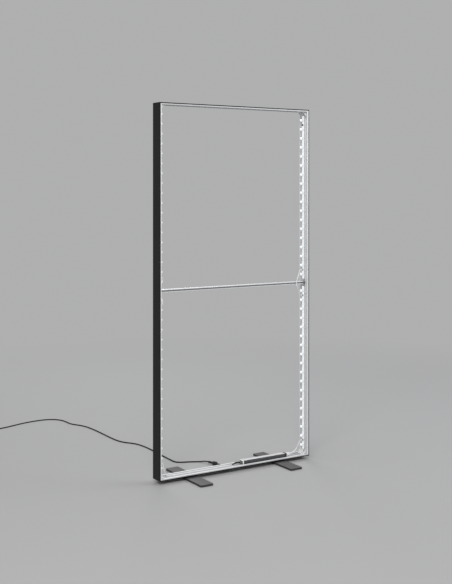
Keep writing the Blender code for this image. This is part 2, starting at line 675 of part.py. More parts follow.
def build_driver(case_finish, cap_finish, white):
    half = DRIVER_WIDTH / 2
    top = DRIVER_HEIGHT
    seam = top / 2
    outline = [
        (half, 0), (half, seam - DRIVER_SEAM), (half - DRIVER_SEAM, seam), (half, seam + DRIVER_SEAM),
        (half, top - DRIVER_EDGE), (half - 0.3 * DRIVER_EDGE, top - 0.3 * DRIVER_EDGE),
        (half - DRIVER_EDGE, top)]
    outline = outline + [(-x, y) for x, y in reversed(outline)]
    length = DRIVER_LENGTH - 2 * (DRIVER_CAP + GAP)
    case = along_x(straight([outline], length))
    place("driver_case", case, case_finish, (DRIVER_LEFT + DRIVER_CAP + GAP, 0, DRIVER_BASE))
    height = DRIVER_HEIGHT / 2
    cap = mesh_of(along_x(loft([
        (0, half, height, SMALL_EDGE), (0.8 * DRIVER_CAP, half, height, SMALL_EDGE),
        (DRIVER_CAP, half - DRIVER_EDGE / 2, height - DRIVER_EDGE / 2, SMALL_EDGE),
        (DRIVER_CAP, GLAND_RADIUS, GLAND_RADIUS, GLAND_RADIUS),
        (DRIVER_CAP + GLAND_LENGTH, 0.8 * GLAND_RADIUS, 0.8 * GLAND_RADIUS, 0.8 * GLAND_RADIUS)])),
        "driver_cap")
    place("driver_cap_left", cap.copy(), white, (DRIVER_LEFT + DRIVER_CAP, 0, DRIVER_AXIS),
          (0, 0, math.pi))
    place("driver_cap_right", cap, cap_finish, (DRIVER_RIGHT - DRIVER_CAP, 0, DRIVER_AXIS))
    j_y, j_z = JUNCTION_WIDTH / 2, JUNCTION_HEIGHT / 2
    junction = along_x(loft([
        (0, j_y - SMALL_EDGE, j_z - SMALL_EDGE, 3 * SMALL_EDGE), (SMALL_EDGE, j_y, j_z, 3 * SMALL_EDGE),
        (JUNCTION_LENGTH - SMALL_EDGE, j_y, j_z, 3 * SMALL_EDGE),
        (JUNCTION_LENGTH, j_y - SMALL_EDGE, j_z - SMALL_EDGE, 3 * SMALL_EDGE)]))
    place("output_junction", junction, white,
          (DRIVER_RIGHT + GAP + GLAND_LENGTH + GAP, 0, DRIVER_AXIS))
    build_strap(white)


def build_strap(white):
    """Strap over the driver, its two feet on the rail's web."""
    inner = DRIVER_WIDTH / 2 + GAP
    outer = inner + STRAP_THICKNESS
    foot = inner + STRAP_FOOT
    floor = CHANNEL_FLOOR + GAP
    shelf = floor + STRAP_THICKNESS
    roof = DRIVER_BASE + DRIVER_HEIGHT + GAP
    crown = roof + STRAP_THICKNESS
    ease = 0.3 * DRIVER_EDGE
    half = [(foot, shelf), (foot, floor), (inner, floor), (inner, roof - DRIVER_EDGE),
            (inner - ease, roof - ease), (inner - DRIVER_EDGE, roof)]
    under = half + [(-x, y) for x, y in reversed(half)]
    over = [(outer, shelf), (outer, crown - DRIVER_EDGE), (outer - ease, crown - ease),
            (outer - DRIVER_EDGE, crown)]
    outline = under + [(-x, y) for x, y in over] + list(reversed(over))
    strap = along_x(straight([outline], STRAP_WIDTH))
    place("driver_strap", strap, white, (DRIVER_LEFT + STRAP_INSET - STRAP_WIDTH / 2, 0, 0))


def coupler_points():
    """Front end, back end and direction of the coupler, which lies on the floor."""
    front = Vector((DRIVER_LEFT - COUPLER_SIDE_STEP, COUPLER_REACH, COUPLER_RADIUS + CORD_LIFT))
    ahead = Vector((math.cos(COUPLER_TURN), math.sin(COUPLER_TURN), 0))
    back = front - ahead * (2 * COUPLER_HALF_LENGTH - COUPLER_SPIGOT + GAP)
    return front, back, ahead


def build_coupler(rubber):
    front, back, ahead = coupler_points()
    radius = COUPLER_RADIUS
    mouth = COUPLER_HALF_LENGTH
    spigot = 0.7 * radius
    socket = [(0, 0.72 * COUPLER_BOOT_RADIUS), (0.92 * COUPLER_BOOT, COUPLER_BOOT_RADIUS),
              (COUPLER_BOOT, 0.9 * radius), (COUPLER_BOOT + SMALL_EDGE, radius),
              (mouth - COUPLER_SPIGOT, radius), (mouth - COUPLER_SPIGOT, spigot), (mouth, spigot)]
    play = 2 * GAP
    plug = [(0, 0.9 * COUPLER_GRIP_RADIUS), (0.1 * COUPLER_GRIP, COUPLER_GRIP_RADIUS),
            (COUPLER_GRIP, COUPLER_GRIP_RADIUS), (COUPLER_GRIP + COUPLER_NECK, COUPLER_NECK_RADIUS),
            (mouth - COUPLER_RIM, 0.96 * radius), (mouth - 0.7 * COUPLER_RIM, radius), (mouth, radius),
            (mouth, spigot + play), (mouth - COUPLER_SPIGOT - play, spigot + play)]
    turn = math.atan2(-ahead.y, -ahead.x)
    place("coupler_socket", along_x(turned(socket)), rubber, front, (0, 0, turn), smooth=True)
    place("coupler_plug", along_x(turned(plug)), rubber, back, (0, 0, turn + math.pi), smooth=True)


def build_input_lead(rubber):
    """Black lead from the coupler, in under the rail, up through the slot and into the driver."""
    front, _, ahead = coupler_points()
    start = front + ahead * GAP
    gland = Vector((DRIVER_LEFT - GLAND_LENGTH - GAP, 0, DRIVER_AXIS))
    low = INPUT_DIAMETER / 2 + CORD_LIFT
    reach = start.y - LEAD_SLOT_LANE
    route = [start, start + ahead * 2 * INPUT_DIAMETER]
    route += [(LEAD_SLOT_MIDDLE - out * INPUT_DIAMETER, LEAD_SLOT_LANE + back * reach,
               low + up * (gland.z - low)) for out, back, up in INPUT_ROUTE_SHARES]
    route += [gland - Vector((1.4 * INPUT_DIAMETER, 0, 0)), gland]
    points, _ = smooth_points(route, 40, INPUT_DIAMETER)
    tube("driver_input_lead", points, INPUT_DIAMETER, rubber)


def coil_radius(turn):
    """Radius after a number of turns: in over the first layer, out again over the second."""
    inner = COIL_MEAN_RADIUS - COIL_PITCH * COIL_TURNS_PER_LAYER / 2
    return inner + COIL_PITCH * abs(COIL_TURNS_PER_LAYER - turn)


def coil_height(turn):
    """Height of the tube's centre: it climbs a layer in the half turn about the reversal."""
    low = TIE_THICKNESS + TIE_CLEARANCE + CORD_DIAMETER / 2 + GAP
    share = min(max((turn - COIL_TURNS_PER_LAYER) * 2 + 0.5, 0), 1)
    return low + COIL_LAYER * share * share * (3 - 2 * share)


def coil_point(turn):
    angle = -math.pi / 2 - 2 * math.pi * turn
    radius = coil_radius(turn)
    return Vector((COIL_CENTRE[0] + radius * math.cos(angle),
                   COIL_CENTRE[1] + radius * math.sin(angle), coil_height(turn)))


def least_gap(points, diameter, apart):
    """Least clear distance between stretches of a tube that are some points apart."""
    spots = np.array([tuple(point) for point in points])
    best = min(np.linalg.norm(spots[i + apart:] - spots[i], axis=1).min()
               for i in range(len(spots) - apart))
    return best - diameter


def build_cord(rubber, band):
    """Mains cord over the floor, its coil with a tie, and the plug on its end."""
    _, back, ahead = coupler_points()
    cord_out = back - ahead * GAP
    floor = CORD_DIAMETER / 2 + CORD_LIFT
    first = Vector((*CORD_FLOOR_ROUTE[0], floor))
    lead_out = cord_out - ahead * (2 * CORD_DIAMETER)
    fall = first - lead_out
    route = [cord_out, lead_out]
    for share, down in CORD_START_RISE:
        spot = lead_out + fall * share
        route.append(Vector((spot.x, spot.y, lead_out.z + (floor - lead_out.z) * down)))
    route += [Vector((x, y, floor)) for x, y in CORD_FLOOR_ROUTE]

    turns = 2 * COIL_TURNS_PER_LAYER
    steps = turns * COIL_STEPS
    winding = [coil_point(i / COIL_STEPS) for i in range(steps + 1)]
    entry = Vector((1, 0, 0))
    lead_in = winding[0] + entry * (2 * CORD_DIAMETER)
    join = lead_in + entry * (2 * CORD_DIAMETER)
    route += [join + entry * (3 * CORD_DIAMETER + GAP), join + entry * GAP]
    points, length = smooth_points(route, 84, CORD_DIAMETER)
    tube("mains_cord", points, CORD_DIAMETER, rubber)

    plug_axis = MAINS_PLUG_RADIUS + 2 * GAP
    tail_run = 8 * CORD_DIAMETER
    tail = []
    for share in (0.15, 0.3, 0.45, 0.6, 0.75, 0.9, 1.0):
        ease = share * share * (3 - 2 * share)
        tail.append(winding[-1] + Vector((-tail_run * share, 0, (plug_axis - winding[-1].z) * ease)))
    cable_end = tail[-1] + Vector((-CORD_DIAMETER, 0, 0))
    coil = [join, (join + lead_in) / 2, lead_in] + winding + tail + [cable_end]
    tube("cord_coil", coil, CORD_DIAMETER, rubber, sides=1)
    coil_length = sum((b - a).length for a, b in zip(coil, coil[1:]))
    print("least gap in the coil: %.2f mm" % (1000 * least_gap(winding, CORD_DIAMETER, COIL_STEPS // 2)))
    print("cord %.3f m and coil %.3f m" % (length, coil_length))

    build_tie(band)
    build_plug(cable_end - Vector((GAP, 0, 0)), rubber)


def build_tie(band):
    """Band round the bundle where its two layers lie square on each other."""
    half_x = COIL_PITCH / 2 + CORD_DIAMETER / 2 + TIE_CLEARANCE
    half_y = COIL_LAYER / 2 + CORD_DIAMETER / 2 + TIE_CLEARANCE
    corner = CORD_DIAMETER / 2
    inner = rounded(half_x, half_y, corner, 3)
    outer = rounded(half_x + TIE_THICKNESS, half_y + TIE_THICKNESS, corner + TIE_THICKNESS, 3)
    ring = shifted(along_y(straight([outer, inner], TIE_WIDTH)), (0, -TIE_WIDTH / 2, 0))
    angle = -math.pi / 2 - math.pi
    height = half_y + TIE_THICKNESS + GAP
    place("cord_tie", ring, band,
          (COIL_CENTRE[0] + COIL_MEAN_RADIUS * math.cos(angle),
           COIL_CENTRE[1] + COIL_MEAN_RADIUS * math.sin(angle), height), (0, 0, angle))


def build_plug(cable_end, rubber):
    """Round moulded plug with two pins, lying on the floor at the end of the tail."""
    radius = MAINS_PLUG_RADIUS
    face = MAINS_BOOT + MAINS_PLUG_LENGTH
    neck = 0.75 * CORD_DIAMETER
    body = turned([
        (0, neck), (0.9 * MAINS_BOOT, 1.25 * neck), (MAINS_BOOT, 0.55 * radius),
        (MAINS_BOOT + 0.25 * MAINS_PLUG_LENGTH, 0.86 * radius),
        (MAINS_BOOT + 0.5 * MAINS_PLUG_LENGTH, radius), (face - 2 * SMALL_EDGE, radius),
        (face, radius - 2 * SMALL_EDGE)], steps=5)
    pins = joined([shifted(turned([(face - OVERRUN, PIN_RADIUS), (face + 0.9 * PIN_LENGTH, PIN_RADIUS),
                                   (face + PIN_LENGTH, 0.6 * PIN_RADIUS)], steps=2),
                           (side * PIN_SPACING / 2, 0, 0)) for side in (-1, 1)])
    shape = worked(body, ("UNION", pins))
    quarter = math.pi / 2
    place("mains_plug", shape, rubber, cable_end, (0, -quarter, 0), smooth=True)


def build_feet(steel, plastic, screw_finish):
    hole = SCREW_RADIUS + SCREW_PLAY
    pocket = SCREW_HEAD_RADIUS + COUNTERBORE_PLAY
    half_x, half_y, top = FOOT_WIDTH / 2, FOOT_LENGTH / 2, FOOT_THICKNESS
    plate = loft([
        (0, half_x - FOOT_EDGE, half_y - FOOT_EDGE, FOOT_CORNER),
        (FOOT_EDGE, half_x, half_y, FOOT_CORNER), (top - FOOT_EDGE, half_x, half_y, FOOT_CORNER),
        (top, half_x - FOOT_EDGE, half_y - FOOT_EDGE, FOOT_CORNER)])
    bore = turned([(-OVERRUN, pocket), (COUNTERBORE_DEPTH, pocket), (COUNTERBORE_DEPTH, hole),
                   (top + OVERRUN, hole)], steps=5)
    foot = worked(plate, ("DIFFERENCE", bore))
    spacer = mesh_of(turned([
        (0, SPACER_RADIUS - SMALL_EDGE), (SMALL_EDGE, SPACER_RADIUS),
        (SPACER_HEIGHT - SMALL_EDGE, SPACER_RADIUS), (SPACER_HEIGHT, SPACER_RADIUS - SMALL_EDGE),
        (SPACER_HEIGHT, hole), (0, hole)], steps=6, tube=True), "foot_spacer")
    head = COUNTERBORE_DEPTH - GAP
    tip = FRAME_LIFT + SLOT_ROOF - 2 * GAP
    screw = mesh_of(turned([
        (head - SCREW_HEAD_HEIGHT + SCREW_HEX_DEPTH, SCREW_HEX_RADIUS),
        (head - SCREW_HEAD_HEIGHT, SCREW_HEX_RADIUS), (head - SCREW_HEAD_HEIGHT, SCREW_HEAD_RADIUS - SMALL_EDGE),
        (head - SCREW_HEAD_HEIGHT + SMALL_EDGE, SCREW_HEAD_RADIUS), (head, SCREW_HEAD_RADIUS),
        (head, SCREW_RADIUS), (tip, SCREW_RADIUS)]), "foot_screw")
    for side, x in (("left", -FOOT_SPACING / 2), ("right", FOOT_SPACING / 2)):
        swivel = station("foot_swivel_" + side, (x, 0, 0))
        place("foot_" + side, foot, steel, parent=swivel)
        place("foot_spacer_" + side, spacer, plastic, (x, 0, FOOT_THICKNESS + GAP), smooth=True)
        place("foot_screw_" + side, screw, screw_finish, (x, 0, 0), smooth=True)


def main():
    clear_scene()
    aluminium = material("rail_aluminium", (0.62, 0.62, 0.63), 0.38, 0.6)
    cast = material("bracket_casting", (0.55, 0.55, 0.56), 0.45, 0.5)
    steel = material("foot_steel", (0.075, 0.072, 0.075), 0.5, 0.35)
    bright_steel = material("bright_steel", (0.5, 0.5, 0.5), 0.3, 0.9)
    lens_plastic = material("lens_acrylic", (0.93, 0.94, 0.95), 0.15, 0.0)
    black_plastic = material("black_plastic", (0.02, 0.02, 0.02), 0.45, 0.0)
    white_plastic = material("white_plastic", (0.82, 0.82, 0.81), 0.4, 0.0)
    driver_case = material("driver_case", (0.75, 0.75, 0.74), 0.4, 0.2)
    rubber = material("black_rubber", (0.016, 0.016, 0.017), 0.6, 0.0)

    sides = {"left": station("left_side", (-FRAME_WIDTH / 2, 0, MIDDLE)),
             "right": station("right_side", (FRAME_WIDTH / 2, 0, MIDDLE), (0, 0, math.pi))}
    build_rails(aluminium)
    build_corners(cast)
    build_splices(sides, bright_steel)
    build_crossbar(sides, aluminium, black_plastic)
    build_lens_bars(sides, aluminium, lens_plastic, black_plastic)
    build_jumpers(sides, white_plastic)
    build_feeds(white_plastic)
    build_driver(driver_case, black_plastic, white_plastic)
    build_coupler(rubber)
    build_input_lead(rubber)
    build_cord(rubber, black_plastic)
    build_feet(steel, black_plastic, bright_steel)


main()
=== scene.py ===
import math
import bmesh
import bpy
import numpy as np
from mathutils import Matrix, Vector


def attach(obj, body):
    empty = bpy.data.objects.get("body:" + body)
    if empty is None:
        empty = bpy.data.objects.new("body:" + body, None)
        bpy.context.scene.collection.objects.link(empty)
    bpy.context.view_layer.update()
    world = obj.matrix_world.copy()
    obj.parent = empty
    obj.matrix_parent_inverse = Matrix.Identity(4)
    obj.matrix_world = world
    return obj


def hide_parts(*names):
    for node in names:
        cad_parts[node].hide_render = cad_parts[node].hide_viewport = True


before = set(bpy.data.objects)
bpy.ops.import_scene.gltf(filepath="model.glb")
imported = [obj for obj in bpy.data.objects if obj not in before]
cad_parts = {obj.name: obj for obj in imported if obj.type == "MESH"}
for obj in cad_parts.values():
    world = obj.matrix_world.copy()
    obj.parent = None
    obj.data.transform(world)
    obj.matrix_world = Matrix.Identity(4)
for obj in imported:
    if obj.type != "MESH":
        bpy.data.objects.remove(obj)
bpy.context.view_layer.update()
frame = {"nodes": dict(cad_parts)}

nodes = frame["nodes"]
mm = 0.001
quarterTurn = math.pi / 2
at = Matrix.Translation


def metres(size):
    # from millimetres, also inside a tuple
    return tuple(metres(part) for part in size) if isinstance(size, tuple) else size * mm


def inMm(**sizes):
    return {name: metres(size) for name, size in sizes.items()}


# what the frame is built to; every piece below takes its place from these
lightFrame = dict(width=0.980, height=2.000, depth=0.078, lift=0.018,
                  **inMm(web=2.2, trackTop=7.0, boxBack=26.0, seam=0.3))
middle = lightFrame["lift"] + lightFrame["height"] / 2
halfWidth = lightFrame["width"] / 2
seam = lightFrame["seam"]  # between two pieces that touch


def linked(name, data):
    made = bpy.data.objects.new(name, data)
    bpy.context.scene.collection.objects.link(made)
    return made


# camera, at the photograph's angle
photoCamera = dict(place=(-2.9931, -4.6632, 1.5548), turn=32.222, focalPixels=997.16, horizonRow=189.94,
                   imageHeight=584, sensor=36.0, clipEnd=200)


def makeCamera(c):
    # level, as the photograph's was, with the picture moved down on the sensor instead of a tilt
    data = bpy.data.cameras.new("photoCamera")
    data.sensor_width = c["sensor"]
    data.lens = c["sensor"] * c["focalPixels"] / c["imageHeight"]
    data.shift_y = (c["horizonRow"] - c["imageHeight"] / 2) / c["imageHeight"]
    data.clip_end = c["clipEnd"]
    cam = linked("photoCamera", data)
    cam.location = c["place"]
    cam.rotation_euler = (quarterTurn, 0, -math.radians(c["turn"]))
    bpy.context.scene.camera = cam


makeCamera(photoCamera)
bpy.context.scene.view_settings.view_transform = "Standard"
print("camera set")


# shader maths: a wire is a socket that can be added, multiplied and compared
def maths(operation, swapped=False):
    def made(wire, *others):
        values = (*others, wire) if swapped else (wire, *others)
        return wire.nodes.node("ShaderNodeMath", dict(operation=operation), dict(enumerate(values)))
    return made


class Wire:
    def __init__(self, nodes, socket):
        self.nodes, self.socket = nodes, socket

    __add__ = maths("ADD")
    __radd__ = maths("ADD", swapped=True)
    __sub__ = maths("SUBTRACT")
    __rsub__ = maths("SUBTRACT", swapped=True)
    __mul__ = maths("MULTIPLY")
    __rmul__ = maths("MULTIPLY", swapped=True)
    __lt__ = maths("LESS_THAN")
    __gt__ = maths("GREATER_THAN")
    __abs__ = maths("ABSOLUTE")
    least = maths("MINIMUM")
    most = maths("MAXIMUM")
    wave = maths("SINE")


class Nodes:
    # the node tree of a material or of the world
    def __init__(self, tree):
        self.tree, self.coords = tree, None

    def feed(self, socket, value):
        if isinstance(value, Wire):
            self.tree.links.new(value.socket, socket)
        elif hasattr(value, "__len__") and len(value) == 3 and len(socket.default_value) == 4:
            socket.default_value = (*value, 1)
        else:
            socket.default_value = value

    def node(self, kind, settings=None, inputs=None, out=0):
        made = self.tree.nodes.new(kind)
        for key, value in (settings or {}).items():
            if key == "stops":
                stops = made.color_ramp.elements
                while len(stops) < len(value):
                    stops.new(0.5)
                for stop, (spot, shade) in zip(stops, value):
                    stop.position, stop.color = spot, (shade, shade, shade, 1)
            else:
                setattr(made, key, value)
        for key, value in (inputs or {}).items():
            self.feed(made.inputs[key], value)
        return Wire(self, made.outputs[out])

    def place(self):
        if self.coords is None:
            self.coords = self.node("ShaderNodeTexCoord", out="Object")
        return self.coords

    def axes(self, letters):
        return [self.node("ShaderNodeSeparateXYZ", inputs={0: self.place()}, out=letter.upper())
                for letter in letters]

    def noise(self, scale, detail=3, stretch=(1, 1, 1), rough=0.5):
        spot = self.node("ShaderNodeMapping", inputs={"Vector": self.place(), "Scale": stretch})
        return self.node("ShaderNodeTexNoise", inputs={
            "Vector": spot, "Scale": scale, "Detail": detail, "Roughness": rough})

    def ramp(self, value, *stops):
        return self.node("ShaderNodeValToRGB", dict(stops=stops), {0: value})

    def mix(self, share, low, high):
        return self.node("ShaderNodeMix", dict(data_type="RGBA"), {0: share, 6: low, 7: high}, out=2)

    def bump(self, height, distance, strength=1.0):
        return self.node("ShaderNodeBump", inputs={
            "Height": height, "Distance": distance, "Strength": strength})

    def attribute(self, name):
        return self.node("ShaderNodeAttribute", dict(attribute_name=name), out="Fac")

    def seen(self):
        # 1 for what the camera, a gloss or clear plastic looks at, 0 for the light itself
        rays = [self.node("ShaderNodeLightPath", out="Is %s Ray" % kind)
                for kind in ("Camera", "Glossy", "Transmission")]
        return rays[0].most(rays[1]).most(rays[2])


class Finish(Nodes):
    def __init__(self, name, **plain):
        self.material = bpy.data.materials.new(name)
        self.material.use_nodes = True
        super().__init__(self.material.node_tree)
        self.shader = self.tree.nodes["Principled BSDF"]
        self.set(**plain)

    def set(self, **values):
        for socket, value in values.items():
            self.feed(self.shader.inputs[socket.replace("_", " ")], value)
        return self.material


def along(axis, slow, fast):
    return tuple(slow if name == axis else fast for name in "xyz")


# finishes that several pieces share
def drawnGrain(f, axis, fine=1100, slow=6, broad=30):
    # die lines along a drawn bar, and broader patches on them
    return f.noise(1.0, 2, along(axis, 1.5, fine)), f.noise(1.0, 4, along(axis, slow, broad), 0.6)


def drawnAluminium(name, axis, dull, bright, groove=None):
    # natural bar; painted shade darkens the inside of a groove along its faces
    f = Finish(name)
    dieLines, patches = drawnGrain(f, axis)
    colour = f.mix(dieLines * 0.6 + patches * 0.4, dull, bright)
    rough = 0.34 + dieLines * 0.18
    if groove:
        y, z = f.axes("yz")
        # painted shade inside the groove
        sunk = (abs(z - middle) < groove["half"]) * (abs(y) < groove["bottom"])
        colour = f.mix(sunk, colour, groove["shade"])
        rough = rough + sunk * 0.2
    return f.set(Base_Color=colour, Metallic=0.42 + patches * 0.1, Roughness=rough,
                 Normal=f.bump(dieLines, 0.03 * mm, 0.5))


def castAlloy(name):
    f = Finish(name)
    grain = f.noise(1900, 4, rough=0.7)
    flow = f.noise(90, 3)
    return f.set(Base_Color=f.mix(grain * 0.5 + flow * 0.5, (0.80, 0.805, 0.81), (0.88, 0.885, 0.89)),
                 Metallic=0.22 + flow * 0.1, Roughness=0.42 + grain * 0.16,
                 Normal=f.bump(grain, 0.10 * mm, 0.4))


def zincSteel(name, tint=(0.70, 0.69, 0.66)):
    f = Finish(name, Metallic=0.95)
    bloom = f.noise(420, 4, rough=0.65)
    return f.set(Base_Color=f.mix(bloom, tuple(0.72 * t for t in tint), tint), Roughness=0.22 + bloom * 0.2,
                 Normal=f.bump(bloom, 0.03 * mm, 0.4))


def moulded(name, colour, other, rough=0.4, grain=2600, depth=0.05 * mm, coat=0.0):
    # injection-moulded plastic with a fine spark texture and a slow shift of tone
    f = Finish(name, Coat_Weight=coat)
    spark = f.noise(grain, 3, rough=0.7)
    tone = f.noise(70, 4, rough=0.6)
    return f.set(Base_Color=f.mix(tone * 0.6 + spark * 0.4, colour, other),
                 Roughness=rough - 0.06 + spark * 0.16, Normal=f.bump(spark, depth, 0.55))


def flexPlastic(name, colour, other, rough=0.42):
    # the skin of leads and cords: slightly dull, with handling marks and a trace of dust
    f = Finish(name, IOR=1.35)
    skin = f.noise(1400, 4, rough=0.7)
    marks = f.ramp(f.noise(60, 5, rough=0.7), (0.45, 0.0), (0.75, 1.0))
    return f.set(Base_Color=f.mix(marks * 0.7 + skin * 0.2, colour, other),
                 Roughness=rough + marks * 0.14 + skin * 0.06, Normal=f.bump(skin, 0.05 * mm, 0.5))


screwMetal = zincSteel("screwMetal")
pinMetal = zincSteel("pinMetal", (0.80, 0.72, 0.50))
blackMoulded = moulded("blackMoulded", (0.012, 0.012, 0.0125), (0.028, 0.028, 0.029))
greyMoulded = moulded("greyMoulded", (0.19, 0.19, 0.193), (0.25, 0.25, 0.254))
chipMoulded = moulded("chipMoulded", (0.62, 0.60, 0.54), (0.72, 0.70, 0.64), 0.3)
whiteMoulded = moulded("whiteMoulded", (0.80, 0.80, 0.785), (0.86, 0.86, 0.85), 0.34, 1800, 0.03 * mm, 0.15)
rubberMoulded = moulded("rubberMoulded", (0.011, 0.011, 0.0115), (0.026, 0.026, 0.027), 0.5, 2000, 0.06 * mm)
spacerNylon = moulded("spacerNylon", (0.018, 0.018, 0.019), (0.034, 0.034, 0.035), 0.48)
whiteLead = flexPlastic("whiteLead", (0.88, 0.88, 0.875), (0.80, 0.80, 0.79), 0.36)
cordSkin = flexPlastic("cordSkin", (0.006, 0.006, 0.0063), (0.020, 0.020, 0.0205), 0.48)
print("shared finishes made")


# making pieces
def bevel(bm, edges, offset, segments, clamp=False):
    bmesh.ops.bevel(bm, geom=edges, offset=offset, offset_type="OFFSET", segments=segments, profile=0.5,
                    affect="EDGES", clamp_overlap=clamp, material=-1)


def block(low, high, radius=0.0, segments=3, keep=None):
    # rounded box between two corners; keep picks the edges to round
    low, high = Vector(low), Vector(high)
    place = at((low + high) / 2) @ Matrix.Diagonal((*(abs(span) for span in high - low), 1))
    bm = bmesh.new()
    bmesh.ops.create_cube(bm, size=1, matrix=place)
    if radius:
        bevel(bm, [e for e in bm.edges if keep is None or keep(e)], radius, segments)
    return bm


def edgeSpan(edge, axis):
    return abs(getattr(edge.verts[0].co - edge.verts[1].co, axis))


def sharpEdges(bm, angle):
    return [e for e in bm.edges if e.is_manifold and e.calc_face_angle() > math.radians(angle)]


def chain(bm, points, closed=False):
    # a line of edges through points
    verts = [bm.verts.new(point) for point in points]
    edges = [bm.edges.new(pair) for pair in zip(verts, verts[1:])]
    if closed:
        edges.append(bm.edges.new((verts[-1], verts[0])))
    return verts, edges


def turned(profile, steps=32):
    # spins (height, radius) points about Z and closes what is left open
    bm = bmesh.new()
    verts, edges = chain(bm, [(radius, 0, height) for height, radius in profile])
    bmesh.ops.spin(bm, geom=verts + edges, cent=(0, 0, 0), axis=(0, 0, 1), angle=2 * math.pi, steps=steps,
                   use_merge=True)
    bmesh.ops.remove_doubles(bm, verts=bm.verts, dist=1e-7)
    bmesh.ops.holes_fill(bm, edges=[e for e in bm.edges if e.is_boundary], sides=0)
    bmesh.ops.recalc_face_normals(bm, faces=bm.faces)
    return bm


def ribbon(points, run, thickness, inside, closed=False):
    # a line of points drawn out along run; its faces look inwards before it gets thick
    bm = bmesh.new()
    skin = bmesh.ops.extrude_edge_only(bm, edges=chain(bm, points, closed)[1])["geom"]
    bmesh.ops.translate(bm, vec=run, verts=[g for g in skin if isinstance(g, bmesh.types.BMVert)])
    bmesh.ops.recalc_face_normals(bm, faces=bm.faces)
    if sum(f.normal.dot(f.calc_center_median() - Vector(inside)) for f in bm.faces) > 0:
        bmesh.ops.reverse_faces(bm, faces=bm.faces)
    bmesh.ops.solidify(bm, geom=bm.faces, thickness=thickness)
    bmesh.ops.recalc_face_normals(bm, faces=bm.faces)
    return bm


def moved(bm, place):
    # a mirroring place also turns the faces back outwards
    bmesh.ops.transform(bm, matrix=place, verts=bm.verts)
    if place.determinant() < 0:
        bmesh.ops.reverse_faces(bm, faces=bm.faces)
    return bm


def asMesh(name, bm):
    mesh = bpy.data.meshes.new(name)
    bm.to_mesh(mesh)
    bm.free()
    return mesh


def put(whole, part, place=Matrix()):
    # adds a part to a bigger mesh
    mesh = asMesh("part", moved(part, place))
    whole.from_mesh(mesh)
    bpy.data.meshes.remove(mesh)


def pairs(whole, corners, edge, spots=((0, 0, 0),), flip=(1, -1, 1), segments=2):
    # small blocks measured from each spot, with their mirror images
    for spot in spots:
        for way in ((1, 1, 1), flip):
            put(whole, block(*corners, edge, segments), at(spot) @ Matrix.Diagonal((*way, 1)))


def facing(way, spot=(0, 0, 0)):
    # matrix that stands a piece made along Z on a spot, pointing a way
    return at(spot) @ Vector((0, 0, 1)).rotation_difference(Vector(way)).to_matrix().to_4x4()


def sideView(side):
    # from x inwards, y across and z up from the middle to the world, for one upright
    if side == "left":
        return at((-halfWidth, 0, middle))
    return at((halfWidth, 0, middle)) @ Matrix.Rotation(math.pi, 4, "Z")


def camel(*words):
    return "".join(word.capitalize() for word in words)


def enlist(made, stands, body):
    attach(made, body)
    if stands:
        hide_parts(*stands)
    return made


def piece(name, bm, finish, stands=(), body="frame", angle=35):
    mesh = asMesh(name, bm)
    mesh.materials.append(finish)
    mesh.shade_smooth()
    mesh.set_sharp_from_angle(angle=math.radians(angle))
    return enlist(linked(name, mesh), stands, body)


def steel(name, bm, *stands):
    return piece(name, bm, screwMetal, stands)


def tube(name, points, diameter, finish, stands, sides=6, widths=None):
    curve = bpy.data.curves.new(name, "CURVE")
    curve.dimensions = "3D"
    curve.bevel_depth = diameter / 2
    curve.bevel_resolution = sides
    curve.use_fill_caps = True
    line = curve.splines.new("POLY")
    line.points.add(len(points) - 1)
    for spot, co, width in zip(line.points, points, widths or [1.0] * len(points)):
        spot.co, spot.radius = (*co, 1), width
    line.use_smooth = True
    curve.materials.append(finish)
    return enlist(linked(name, curve), stands, "frame")


def repaint(node, finish):
    solid = nodes[node]
    solid.data.materials.clear()
    solid.data.materials.append(finish)
    for face in solid.data.polygons:
        face.material_index = 0


def topFaces(bm, height):
    return [f for f in bm.faces if f.normal.z > 0.98 and f.calc_center_median().z > 0.99 * height]


def pocket(bm, faces, rim, depth):
    # sinks flat top faces inside a rim
    bmesh.ops.inset_region(bm, faces=faces, thickness=rim, use_even_offset=True)
    sunk = bmesh.ops.extrude_discrete_faces(bm, faces=faces)["faces"]
    bmesh.ops.translate(bm, vec=(0, 0, -depth), verts=list({v for f in sunk for v in f.verts}))


screwSizes = dict(board=inMm(head=2.7, height=1.5, socket=1.0), cap=inMm(head=2.1, height=1.1, socket=0.9),
                  strap=inMm(head=1.9, height=1.1, socket=0.8),
                  bracket=inMm(head=4.6, height=2.6, socket=1.7, shank=6.5, shankRadius=2.4),
                  foot=inMm(head=9, height=5, socket=3.2, shankRadius=4))


def capScrew(head, height, socket, shank=0.0, shankRadius=0.0, steps=24):
    # button screw, its head on z = 0 and a round socket sunk in its crown
    crown = [(0, head), (0.35 * height, head), (0.72 * height, 0.9 * head), (height, 0.62 * head)]
    bm = turned([(-shank, 0), (-shank, shankRadius), (0, shankRadius)] + crown + [(height, 0)], steps)
    bmesh.ops.dissolve_faces(bm, faces=topFaces(bm, height))
    pocket(bm, topFaces(bm, height), 0.62 * head - socket, 0.6 * height)
    return bm


def screwsAt(kind, places, steps=24):
    bm = bmesh.new()
    for place in places:
        put(bm, capScrew(**screwSizes[kind], steps=steps), place)
    return bm


# routes have the same corner cutting as the solids' leads
def smoothRoute(route, gap, cuts=5, share=0.25):
    points = np.array([tuple(p) for p in route], float)
    for _ in range(cuts):
        pair = [points[:-1] * (1 - s) + points[1:] * s for s in (share, 1 - share)]
        points = np.concatenate([points[:1], np.stack(pair, axis=1).reshape(-1, 3)[1:-1], points[-1:]])
    run = np.concatenate([[0], np.cumsum(np.linalg.norm(np.diff(points, axis=0), axis=1))])
    steps = np.linspace(0, run[-1], max(4, round(run[-1] / gap)))
    return [Vector([np.interp(step, run, points[:, k]) for k in range(3)]) for step in steps]


# coupler, mains cord, coil, tie and plug
def eased(share):
    return share * share * (3 - 2 * share)


